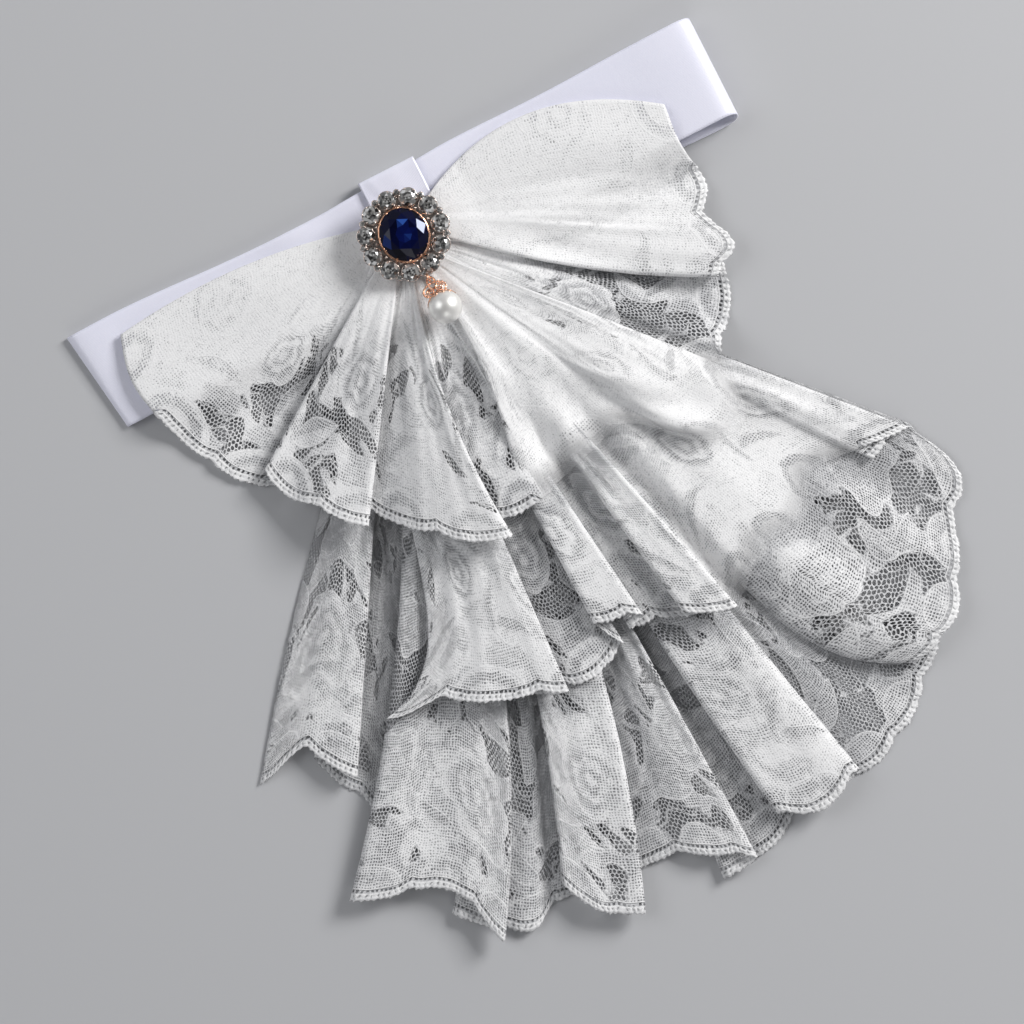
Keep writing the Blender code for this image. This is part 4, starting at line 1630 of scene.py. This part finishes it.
LOWER_FRILL = Frill(
    "lower_frill_lace", LOWER_FOLDS, 1.45, ("floor",), spots=LOWER_SPOTS, dents=LOWER_DENTS, sheer=0.46
)
MIDDLE_FRILL = Frill(
    "middle_frill_lace",
    MIDDLE_FOLDS,
    0.95,
    ("lower_frill_lace",),
    design_shift=27.0,
    spots=MIDDLE_SPOTS,
    dents=MIDDLE_DENTS,
    calm_stretches=MIDDLE_CALM,
    sheer=0.28,
)
UPPER_FRILL = Frill(
    "upper_frill_lace",
    UPPER_FOLDS,
    0.95,
    ("neck_band_satin", "middle_frill_lace", "lower_frill_lace"),
    fan_centre=(0.0, -2.0),
    gather_centre=(0.0, -2.0),
    gather_radii=(11.0, 10.5),
    design_shift=8.0,
    spots=UPPER_SPOTS,
    dents=UPPER_DENTS,
    calm_stretches=UPPER_CALM,
)


@dataclass
class SatinRing:
    """A satin ribbon sewn into a ring: rows of points round it, and columns across the ribbon."""

    finish: Finish
    name: str
    width: float  # of the ribbon
    grid: Array = field(init=False)
    run: Array = field(init=False)  # millimetres round the ring of each row
    length: float = field(init=False)  # of the ring

    def measure(self, path: Array) -> None:
        """Keeps the rows' places round the ring.

        Args:
            path: a point of each row.
        """
        step = np.linalg.norm(np.diff(np.vstack([path, path[:1]]), axis=0), axis=1)
        self.run = np.concatenate([[0], np.cumsum(step)[:-1]])
        self.length = float(step.sum())

    def build(self) -> None:
        """The ring's mesh."""
        rows, columns = self.grid.shape[:2]
        shape = Shape(self.grid.reshape(-1, 3), grid_faces(rows, columns, ring_rows=True))
        piece = make_object(self.name, shape, self.finish)
        across = np.linspace(0, self.width, columns)
        edge = np.minimum(across, self.width - across)
        run = np.broadcast_to(self.run[:, None], (rows, columns))
        set_strip(piece.data, run, np.broadcast_to(edge, (rows, columns)))
        thicken(piece, SATIN_THICKNESS)
        settle(piece, "root", "satin", self.name.removesuffix("_satin"))
        log.info("%s: %.0f mm round", self.name, self.length)


class BandRow(NamedTuple):
    """A section of the flattened neck loop."""

    x: float
    lower: float  # height of the middle of the lower wall
    upper: float  # height of the middle of the upper wall
    sway: float  # how far the band wanders towards +Y


@dataclass
class NeckBand(SatinRing):
    """The satin ribbon, sewn into a loop and folded flat."""

    name: str = "neck_band_satin"
    width: float = 29.5
    left_end: float = -94.0
    right_end: float = 97.0
    end_skew: float = 2.0
    slip: float = 2.0  # of the upper side over the lower one, at the round end
    slip_start: float = 45.0  # x where it begins
    slip_length: float = 45.0
    end_rise: float = 0.4  # of the upper side at the round end
    columns: int = 30
    per_row: int = 12
    sections: tuple = (
        BandRow(-91, 0.5, 2.9, 1.0),
        BandRow(-74, 0.5, 2.4, 1.4),
        BandRow(-42, 0.5, 2.8, -0.6),
        BandRow(-18, 0.6, 3.3, -0.6),
        BandRow(-9, 1.9, 3.6, 0.0),
        BandRow(3, 1.9, 3.6, 0.4),
        BandRow(15, 1.9, 3.6, 1.4),
        BandRow(25, 0.6, 3.6, 1.9),
        BandRow(50, 0.5, 4.2, 1.4),
        BandRow(72, 0.5, 5.8, 0.8),
        BandRow(86, 0.5, 7.6, 0.2),
    )

    def lay(self, pile: Pile) -> None:
        """Works out the loop's middle surface, whose upper side sags and waves a little between its
        edges.

        Args:
            pile: what lies below; the band is added to it.
        """
        lower = [(row.x, row.lower, row.sway) for row in self.sections]
        upper = [(row.x, row.upper, row.sway + self.shift(row.x)) for row in reversed(self.sections)]
        first, last = self.sections[0], self.sections[-1]
        over = last.sway + self.shift(self.right_end)
        right = [(self.right_end, last.lower, last.sway), (self.right_end, last.upper + self.end_rise, over)]
        left = [(self.left_end, first.upper / 2, first.sway), (self.left_end, first.lower, first.sway)]
        x, z, sway = closed_spline(np.array(lower + right + upper + left), self.per_row).T
        across = np.linspace(-1, 1, self.columns + 1)
        skew = np.where(x < 0, x / self.left_end, 0)[:, None] * self.end_skew * across
        y = sway[:, None] + across * self.width / 2
        plan_x = x[:, None] - skew
        height = z[:, None] + self.waves(plan_x, across, z)
        bare = np.dstack([plan_x, y, np.broadcast_to(z[:, None], y.shape)])
        pile.add(np.vstack([bare, bare[:1]]))
        self.grid = np.dstack([plan_x, y, height])
        self.measure(np.column_stack([x, z]))

    def shift(self, x: float) -> float:
        """How far the upper side slips towards +Y over the lower one, near the round end."""
        return self.slip * float(smooth_share((x - self.slip_start) / self.slip_length))

    def waves(self, x: Array, across: Array, z: Array) -> Array:
        """Soft buckles of the upper side: long waves along the band, deepest at one edge, and a few
        short diagonal ones near the middle.

        Args:
            x: of each point.
            across: places across the ribbon, from -1 to 1.
            z: height of each row.

        Returns:
            The height that they add at each point.
        """
        upper = smooth_share((z[:, None] - 1.8) / 0.8)
        long = 0.22 * np.sin(x / 13 + 1.2 * across) * (1 - across * 0.5)
        near = 0.28 * np.exp(-((x + 20) / 16) ** 2) * np.sin((x + 12 * across) / 4.2)
        return upper * (long + near)


@dataclass
class CentreWrap(SatinRing):
    """The short satin ring round the band's middle."""

    name: str = "centre_wrap_satin"
    width: float = 17.0
    left: float = -5.0
    low: float = 0.5
    high: float = 4.9
    near: float = -15.55
    far: float = 16.95
    corner: float = 0.6  # height over which its corners round
    inset: float = 1.0  # and the length
    crown: float = 8.0  # half the length of its flat top
    columns: int = 26
    per_row: int = 8

    def lay(self, pile: Pile) -> None:
        """Works out the ring. Its edges pinch the band, and small pleats run round it.

        Args:
            pile: what lies below; the wrap is added to it.
        """
        middle = (self.low + self.high) / 2
        near, far, low, high = self.near, self.far, self.low, self.high
        below = [(near + self.inset, low), (near + 3, low), (0, low), (far - 3, low)]
        below.append((far - self.inset, low))
        behind = [(far, low + self.corner), (far, middle), (far, high - self.corner)]
        above = [(far - self.inset, high), (self.crown, high), (0, high), (-self.crown, high)]
        before = [(near + self.inset, high), (near, high - self.corner), (near, middle)]
        before += [(near, low + self.corner)]
        y, z = closed_spline(np.array(below + behind + above + before), self.per_row).T
        x = np.linspace(self.left, self.left + self.width, self.columns + 1)
        pleats = smooth_share((z - middle) / 1.5)[:, None] * self.pleats(x, y[:, None])
        plan = np.broadcast_arrays(x[None, :], y[:, None])
        flat = np.dstack([*plan, np.broadcast_to(z[:, None], pleats.shape)])
        pile.add(np.vstack([flat, flat[:1]]))
        self.grid = np.dstack([*plan, z[:, None] + pleats])
        self.measure(self.grid[:, 0])

    def pleats(self, x: Array, y: Array) -> Array:
        """One step in the cloth that runs aslant round the ring, and shallow waves beside it.

        Args:
            x: of each column.
            y: of each row.

        Returns:
            The height that they add to the top.
        """
        across = (x - self.left) / self.width
        step = smooth_share((across * 17 - 6 + y * 0.35) / 3.4)
        return 0.4 * step + 0.07 * np.sin(across * 11 + y / 9) * np.sin(math.pi * across) ** 0.5


# The brooch and its pendant.


class Cut(NamedTuple):
    """The size of a stone in brilliant cut."""

    radius: float  # of the girdle
    height: float  # from the back to the table
    table: float  # the table's radius
    girdle: float  # height of the girdle's upper edge
    stretch: float = 1.0  # of the whole stone along Y


def brilliant(cut: Cut) -> Shape:
    """The crown of a stone in brilliant cut, on a short girdle with a flat back.

    Rings of points from the top: an octagonal table, eight crown points half a step on, sixteen on the
    girdle's upper edge and sixteen on its lower. Star, kite and girdle facets join them. The table has
    an inner star, so that the facets behind it can show.

    Args:
        cut: its size.

    Returns:
        The stone.
    """
    radius, height, table, girdle, stretch = cut

    def ring(count: int, r: float, z: float, phase: float) -> Array:
        """Points on a circle; phase is in steps."""
        a = math.tau * (np.arange(count) + phase) / count
        return np.stack([r * np.cos(a), r * stretch * np.sin(a), np.full(count, z)], -1)

    middle = (radius * 0.5 + table * 0.5, girdle + (height - girdle) * 0.58)
    rings = [ring(8, table * 0.55, height, 0.5), ring(8, table, height, 0), ring(8, *middle, 0.5)]
    rings += [ring(16, radius, girdle, 0), ring(16, radius, girdle * 0.4, 0)]
    rings += [ring(16, radius * 0.7, 0, 0)]
    points = np.vstack([[[0, 0, height]], *rings])
    star, tab, mid, up, low, back = (int(k) for k in np.cumsum([1, 8, 8, 8, 16, 16]))
    faces = [list(range(back, back + 16))[::-1]]
    for k in range(8):
        after, before = (k + 1) % 8, (k - 1) % 8
        a, b, c = 2 * k, 2 * k + 1, (2 * k + 2) % 16
        faces += [[0, star + k, star + after], [tab + after, star + after, star + k]]
        faces += [[tab + k, tab + after, star + k], [tab + after, tab + k, mid + k]]
        faces += [[tab + k, mid + before, up + a, mid + k]]
        faces += [[mid + k, up + a, up + b], [mid + k, up + b, up + c]]
    for k in range(16):
        after = (k + 1) % 16
        faces += [[up + k, low + k, low + after, up + after], [low + k, back + k, back + after, low + after]]
    return Shape(points, faces)


class Glint(NamedTuple):
    """A patch of light inside a stone: its place from the stone's middle, radius and strength."""

    x: float
    y: float
    radius: float
    strength: float


def set_glints(piece: Piece, seed: int, share: float, patches: Sequence[Glint] = ()) -> None:
    """Gives each facet its light, from 0 to 1.

    Args:
        piece: the stones, in millimetres about their own middle.
        seed: of the random part.
        share: of the light that is random.
        patches: of light; each adds its strength, falling off as a Gaussian.
    """
    mesh = piece.data
    middles = np.empty(len(mesh.polygons) * 3)
    mesh.polygons.foreach_get("center", middles)
    x, y, _ = (middles / MM).reshape(-1, 3).T
    light = np.random.default_rng(seed).random(len(x)) * share
    for patch in patches:
        light += patch.strength * np.exp(-((x - patch.x) ** 2 + (y - patch.y) ** 2) / patch.radius**2)
    layer = mesh.attributes.new("glint", "FLOAT_VECTOR", "FACE")
    layer.data.foreach_set("vector", np.repeat(light.clip(0, 1), 3).astype(np.float32))


class Rim(NamedTuple):
    """A wire that follows a stone's edge, or a section of a claw of the bezel."""

    size: float  # of the line that it follows: its radius, or its share of the bezel's oval
    height: float  # above the plate
    wire: float  # half its thickness


class Claws(NamedTuple):
    """Round claws on the edge of a stone."""

    ring: float  # radius of the circle that they stand on
    height: float  # above the plate
    radius: float
    squash: float  # height of each to its width
    turns: tuple  # of each one from the direction away from the brooch's middle, in radians


@dataclass
class Brooch:
    """The brooch: plate, ring of stones in claw cups, bezel and blue centre stone."""

    gold: Finish  # the bezel's
    worn: Finish  # the cups'
    crystal: Finish  # the clear stones'
    blue: Finish  # the centre stone's
    middle: tuple = (0.0, -1.9, 12.1)  # on the plate's top, with the seam's gap
    count: int = 11  # of the ring stones, and of the tiny ones
    ring_radius: float = 10.45
    ring_cut: Cut = Cut(2.5, 1.75, 1.35, 0.7)
    ring_step: float = 0.4  # turn of each ring stone past the one before, in radians
    ring_rim: Rim = Rim(2.52, 0.35, 0.16)
    ring_claws: Claws = Claws(2.42, 0.85, 0.3, 1.3, tuple(math.pi / 6 + k * math.pi / 3 for k in range(6)))
    small_ring: float = 11.75
    small_cut: Cut = Cut(0.78, 0.9, 0.5, 0.35)
    small_lift: float = 0.1
    small_rim: Rim = Rim(0.83, 0.3, 0.15)
    small_claws: Claws = Claws(0.83, 0.45, 0.2, 1.0, (-1.3, 0.0, 1.3))
    bead_ring: float = 7.9
    bead_height: float = 0.6
    bead_radius: float = 0.36
    centre_cut: Cut = Cut(6.6, 3.6, 4.0, 1.5, 14.8 / 13.2)
    bezel_gap: float = 0.2  # between the centre stone and its bezel
    bezel_rims: tuple = (Rim(1.0, 0.45, 0.3), Rim(0.985, 1.3, 0.16))
    bezel_claws: int = 12
    bezel_claw: tuple = (
        Rim(1.05, 0.2, 0.3), Rim(1.03, 1.2, 0.3), Rim(0.99, 1.9, 0.26), Rim(0.94, 2.15, 0.2),
    )
    ring_seed: int = 5
    small_seed: int = 8
    centre_seed: int = 21
    centre_spread: float = 0.1  # share of the centre stone's light that is random
    glints: tuple = (
        Glint(0.2, -2.6, 2.3, 0.4),
        Glint(0.9, 1.1, 1.0, 0.75),
        Glint(4.7, -1.7, 1.1, 1.0),
        Glint(-5.0, -1.6, 1.2, 0.4),
        Glint(-4.6, 3.4, 1.0, 0.3),
    )

    def spots(self, radius: float, phase: float = 0.0) -> list[tuple[float, Array]]:
        """Places on a ring round the centre stone, from the neck side.

        Args:
            radius: of the ring.
            phase: how far past it the first one is, in steps.

        Returns:
            Angle and place of each.
        """
        angles = [math.pi / 2 + math.tau * (k + phase) / self.count for k in range(self.count)]
        middle = np.array(self.middle)
        return [(a, middle + [radius * math.cos(a), radius * math.sin(a), 0]) for a in angles]

    def stones(self) -> None:
        """The ring of clear stones, and the tiny ones in the notches outside them."""
        large, small = brilliant(self.ring_cut), brilliant(self.small_cut)
        ring = [
            moved(large, place, turn_about(2, a + self.ring_step * k))
            for k, (a, place) in enumerate(self.spots(self.ring_radius))
        ]
        piece = make_object("ring_stones", joined(ring), self.crystal, smooth=False)
        settle(piece, "root", "crystal", *(f"rhinestone_{k + 1:02d}" for k in range(self.count)))
        set_glints(piece, self.ring_seed, 1.0)
        ring = [
            moved(small, place + [0, 0, self.small_lift], turn_about(2, a))
            for a, place in self.spots(self.small_ring, 0.5)
        ]
        piece = make_object("notch_stones", joined(ring), self.crystal, smooth=False)
        settle(piece, "root", "crystal")
        set_glints(piece, self.small_seed, 1.0)

    def centre(self) -> None:
        """The blue oval stone."""
        shape = moved(brilliant(self.centre_cut), self.middle)
        piece = make_object("centre_stone_cut", shape, self.blue, smooth=False)
        settle(piece, "root", "blue_stone", "centre_stone")
        set_glints(piece, self.centre_seed, self.centre_spread, self.glints)

    def bezel(self) -> None:
        """The bezel: two wires round the centre stone, and claws that lean in over its edge."""
        across = self.centre_cut.radius + self.bezel_gap
        oval = ellipse(72, across, across * self.centre_cut.stretch)
        shapes = []
        for rim in self.bezel_rims:
            path = oval * rim.size + self.middle + [0, 0, rim.height]
            shapes.append(tube(path, rim.wire, 8, closed=True))
        size, height, wire = np.array(self.bezel_claw).T
        for k in range(self.bezel_claws):
            a = math.tau * (k + 0.5) / self.bezel_claws
            out = np.array([math.cos(a), math.sin(a) * self.centre_cut.stretch, 0]) * across
            path = self.middle + out * size[:, None] + [0, 0, 1] * height[:, None]
            shapes.append(tube(path, wire, 8))
        settle(make_object("bezel_claws", joined(shapes), self.gold), "root", "rose_gold", "bezel")

    def cup(self, a: float, place: Array, rim: Rim, claws: Claws, points: int) -> list[Shape]:
        """A claw cup round a stone.

        Args:
            a: direction away from the brooch's middle, in radians.
            place: the stone's.
            rim: the cup's wire.
            claws: its claws.
            points: of the mesh along the wire.

        Returns:
            Its shapes.
        """
        path = ellipse(points) * rim.size + place + [0, 0, rim.height]
        made = [tube(path, rim.wire, 6, closed=True)]
        for turn in claws.turns:
            out = [claws.ring * math.cos(a + turn), claws.ring * math.sin(a + turn), claws.height]
            made.append(moved(ball(claws.radius, 8, 6, claws.squash), place + out))
        return made

    def cups(self) -> None:
        """The cups of the ring stones and of the tiny stones, and the beads between the ring stones'
        inner edges."""
        shapes = []
        for a, place in self.spots(self.ring_radius):
            shapes += self.cup(a, place, self.ring_rim, self.ring_claws, 24)
        for a, place in self.spots(self.small_ring, 0.5):
            shapes += self.cup(a, place, self.small_rim, self.small_claws, 12)
        for _, place in self.spots(self.bead_ring, 0.5):
            shapes.append(moved(ball(self.bead_radius, 8, 6), place + [0, 0, self.bead_height]))
        settle(make_object("claw_cups", joined(shapes), self.worn), "root", "rose_gold")

    def build(self) -> None:
        """All of the brooch's added pieces."""
        self.bezel()
        self.cups()
        self.stones()
        self.centre()


@dataclass
class Pendant:
    """The pearl drop: a filigree link, a petalled cap and the pearl, on the hinge in the brooch's eye."""

    gold: Finish  # the link's and the cap's
    nacre: Finish  # the pearl's
    hinge: tuple = (0.6, -15.3, 11.8)
    pearl: tuple = (1.1, -24.8, 16.4)
    pearl_radius: float = 4.6
    cap_radius: float = 4.1
    cap_gap: float = 0.05  # between the pearl and its cap
    cap_wall: float = 0.25
    petals: int = 10
    petal_depth: float = 0.06  # to the cap's radius
    collar: float = 0.62
    collar_height: float = 0.55  # of its middle, above the pearl
    link_radius: float = 1.15
    link_wire: float = 0.304
    link_stretch: float = 1.64
    rosette: tuple = (3.3, 2.2)  # its half width and half length
    rosette_drop: float = 2.15  # of its middle, below the middle of the link's oval
    rosette_back: float = 0.3  # how far it lies behind the oval
    rosette_wire: float = 0.26
    beads: int = 16
    bead_radius: float = 0.36
    bead_lift: float = 0.1
    scroll_middle: tuple = (1.32, 0.33)  # of the right one, from the rosette's
    scroll_start: float = 0.22  # its radius at its inner end
    scroll_growth: float = 0.1  # of the radius, a radian
    scroll_length: float = 3.4 * math.pi  # in radians
    scroll_wire: float = 0.27

    def frame(self) -> tuple[Array, Array]:
        """How the drop hangs at rest.

        Returns:
            Its direction from hinge to pearl, and the matrix that turns -Y onto it.
        """
        drop = np.subtract(self.pearl, self.hinge)
        rise = math.atan2(drop[2], -drop[1])
        return drop / np.linalg.norm(drop), turn_about(0, -rise)

    def scroll(self, side: int) -> Shape:
        """One scroll of the rosette, an Archimedean spiral: its radius grows evenly with its angle.

        Args:
            side: 1 for the right one, -1 for the left one, which is it turned by half a turn.

        Returns:
            The scroll.
        """
        a = np.linspace(0, self.scroll_length, 44)
        r = self.scroll_start + self.scroll_growth * a
        x = side * (self.scroll_middle[0] - r * np.cos(a))
        y = side * (self.scroll_middle[1] - r * np.sin(a))
        return tube(np.stack([x, y, 0.25 - 0.02 * a], -1), self.scroll_wire, 8)

    def link(self) -> None:
        """The link: an oval wire on the hinge, and a rosette below it: two scrolls in a beaded ring.
        The rosette starts far enough down the line to pass in front of the brooch's stones when the
        drop is lifted."""
        line, turn = self.frame()
        wide, long = self.rosette
        rosette = [tube(ellipse(48, wide, long), self.rosette_wire, 8, closed=True)]
        for k in range(self.beads):
            a = math.tau * (k + 0.5) / self.beads
            place = (wide * math.cos(a), long * math.sin(a), self.bead_lift)
            rosette.append(moved(ball(self.bead_radius, 10, 8, 0.8), place))
        rosette += [self.scroll(side) for side in (-1, 1)]
        oval = ellipse(48, self.link_radius, self.link_radius * self.link_stretch)
        shapes = [tube(oval, self.link_wire, 10, closed=True)]
        shapes.append(moved(joined(rosette), (0.0, -self.rosette_drop, -self.rosette_back)))
        place = np.array(self.hinge) + line * self.link_radius * self.link_stretch
        piece = make_object("filigree_link", moved(joined(shapes), place, turn), self.gold)
        settle(piece, "pendant", "rose_gold", "link")

    def cap(self) -> None:
        """The cap: a dome on the pearl's own curve, under a small collar. Its radius is
        r(1 + d s^3 cos(n a)) at a share s of the way from pole to rim, which makes n petals of depth d."""
        _, turn = self.frame()
        angle = np.linspace(0, math.tau, 48, endpoint=False)[None, :]
        share = np.linspace(0, 1, 9)[1:, None]
        r = self.cap_radius * share * (1 + self.petal_depth * share**3 * np.cos(self.petals * angle))
        under = self.pearl_radius + self.cap_gap
        over = under + self.cap_wall
        outer = np.stack([r * np.cos(angle), r * np.sin(angle), np.sqrt(over**2 - r**2)], -1)
        shapes = [between_poles(np.vstack([outer, outer[::-1] * (under / over)]), over, under)]
        shapes.append(moved(ball(self.collar, 14, 10), (0, 0, self.pearl_radius + self.collar_height)))
        upright = turn_about(0, -math.pi / 2)
        piece = make_object("petal_cap", moved(joined(shapes), self.pearl, turn @ upright), self.gold)
        settle(piece, "pendant", "rose_gold", "pearl_cap")

    def build(self) -> None:
        """All of the pendant's pieces."""
        self.link()
        self.cap()
        piece = make_object("pearl_drop", moved(ball(self.pearl_radius, 64, 40), self.pearl), self.nacre)
        settle(piece, "pendant", "pearl", "pearl")


# The studio.


class Lamp(NamedTuple):
    """A soft square light that faces the collar."""

    name: str
    toward: tuple  # its place from the collar's middle, in metres: right, up in the picture, and height
    size: float  # its side in metres
    power: float  # in watts
    colour: Colour


@dataclass
class Studio:
    """The camera, the lights and the floor."""

    middle: tuple = (-8.0, -82.9)  # what the camera looks down on, in millimetres
    turn: float = -26.9  # of the camera about the vertical
    span: float = 282.6  # millimetres across the picture, at the cloth
    cloth_height: float = 4.0
    distance: float = 1000.0
    far_clip: float = 20.0  # metres
    sensor: float = 36.0
    floor_side: float = 6.0  # metres
    room_colour: Colour = (0.96, 0.97, 1.0)
    room_low: tuple = (0.1, 0.43)  # height of a direction into the room, and the light from there
    room_high: tuple = (0.95, 0.07)
    transparent_bounces: int = 32
    lamps: tuple = (
        Lamp("key", (1.0, 0.8, 0.8), 0.55, 22.6, (1.0, 0.99, 0.98)),
        Lamp("fill", (-1.1, 0.3, 1.1), 1.0, 6.2, (0.97, 0.98, 1.0)),
        Lamp("back", (0.2, -1.2, 0.9), 0.8, 2.6, (1.0, 1.0, 1.0)),
    )

    def camera(self) -> None:
        """A camera that looks straight down, as far away as makes the cloth fill the picture."""
        data = bpy.data.cameras.new("camera")
        data.sensor_width = self.sensor
        data.lens = self.sensor * self.distance / self.span
        data.clip_end = self.far_clip
        made = bpy.data.objects.new("camera", data)
        bpy.context.scene.collection.objects.link(made)
        height = self.distance + self.cloth_height
        made.location = (self.middle[0] * MM, self.middle[1] * MM, height * MM)
        made.rotation_euler = (0, 0, math.radians(self.turn))
        bpy.context.scene.camera = made

    def light(self, lamp: Lamp) -> None:
        """Puts up a light and points it at the collar's middle.

        Args:
            lamp: the light.
        """
        data = bpy.data.lights.new(lamp.name, "AREA")
        data.shape = "SQUARE"
        data.size = lamp.size
        data.energy = lamp.power
        data.color = lamp.colour
        made = bpy.data.objects.new(lamp.name, data)
        bpy.context.scene.collection.objects.link(made)
        place = turn_about(2, math.radians(self.turn)) @ np.array(lamp.toward)
        made.location = (self.middle[0] * MM + place[0], self.middle[1] * MM + place[1], place[2])
        pitch = math.atan2(math.hypot(place[0], place[1]), place[2])
        made.rotation_euler = (0, pitch, math.atan2(place[1], place[0]))

    def surroundings(self) -> None:
        """A plain pale room, darker overhead than round about."""
        world = bpy.data.worlds.new("studio")
        world.use_nodes = True
        tree = world.node_tree
        split = tree.nodes.new("ShaderNodeSeparateXYZ")
        tree.links.new(tree.nodes.new("ShaderNodeTexCoord").outputs["Generated"], split.inputs[0])
        fade = tree.nodes.new("ShaderNodeMapRange")
        (low, low_light), (high, high_light) = self.room_low, self.room_high
        for socket, value in zip(fade.inputs[1:5], (low, high, low_light, high_light)):
            socket.default_value = value
        tree.links.new(split.outputs[2], fade.inputs[0])
        background = tree.nodes["Background"]
        background.inputs[0].default_value = (*self.room_colour, 1.0)
        tree.links.new(fade.outputs[0], background.inputs[1])
        bpy.context.scene.world = world

    def build(self, finish: Finish) -> None:
        """Sets up everything that isn't the collar.

        Args:
            finish: the floor's.
        """
        side = self.floor_side / MM / 2
        corners = np.array([[-side, -side, 0], [side, -side, 0], [side, side, 0], [-side, side, 0]])
        floor = make_object("floor", Shape(corners, [[0, 1, 2, 3]]), finish, smooth=False)
        self.camera()
        for lamp in self.lamps:
            self.light(lamp)
        self.surroundings()
        bpy.context.scene.view_settings.view_transform = "Standard"
        bpy.context.scene.cycles.transparent_max_bounces = self.transparent_bounces


def main() -> None:
    """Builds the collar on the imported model, from the surface up."""
    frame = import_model()

    lace, satin, gold = LaceFinish().build(), SatinFinish().build(), MetalFinish().build()
    worn, crystal, blue = WORN_GOLD.build(), CLEAR_GLASS.build(), BLUE_GLASS.build()

    pile, design = Pile(), LaceDesign()
    band, wrap = NeckBand(satin), CentreWrap(satin)
    for piece in (LOWER_FRILL, MIDDLE_FRILL, band, wrap, UPPER_FRILL):
        piece.lay(pile)
    for frill in (LOWER_FRILL, MIDDLE_FRILL, UPPER_FRILL):
        frill.build(design, lace, pile)
    band.build()
    wrap.build()
    Brooch(gold, worn, crystal, blue).build()
    Pendant(gold, PearlFinish().build()).build()
    for name, finish in (("brooch_plate", worn), ("pendant_eye", gold)):
        node = frame["nodes"][name]
        node.data.materials.clear()
        node.data.materials.append(finish)
    Studio().build(FloorFinish().build())


if __name__ == "__main__":
    logging.basicConfig(level=logging.INFO, format="%(name)s: %(message)s")
    main()
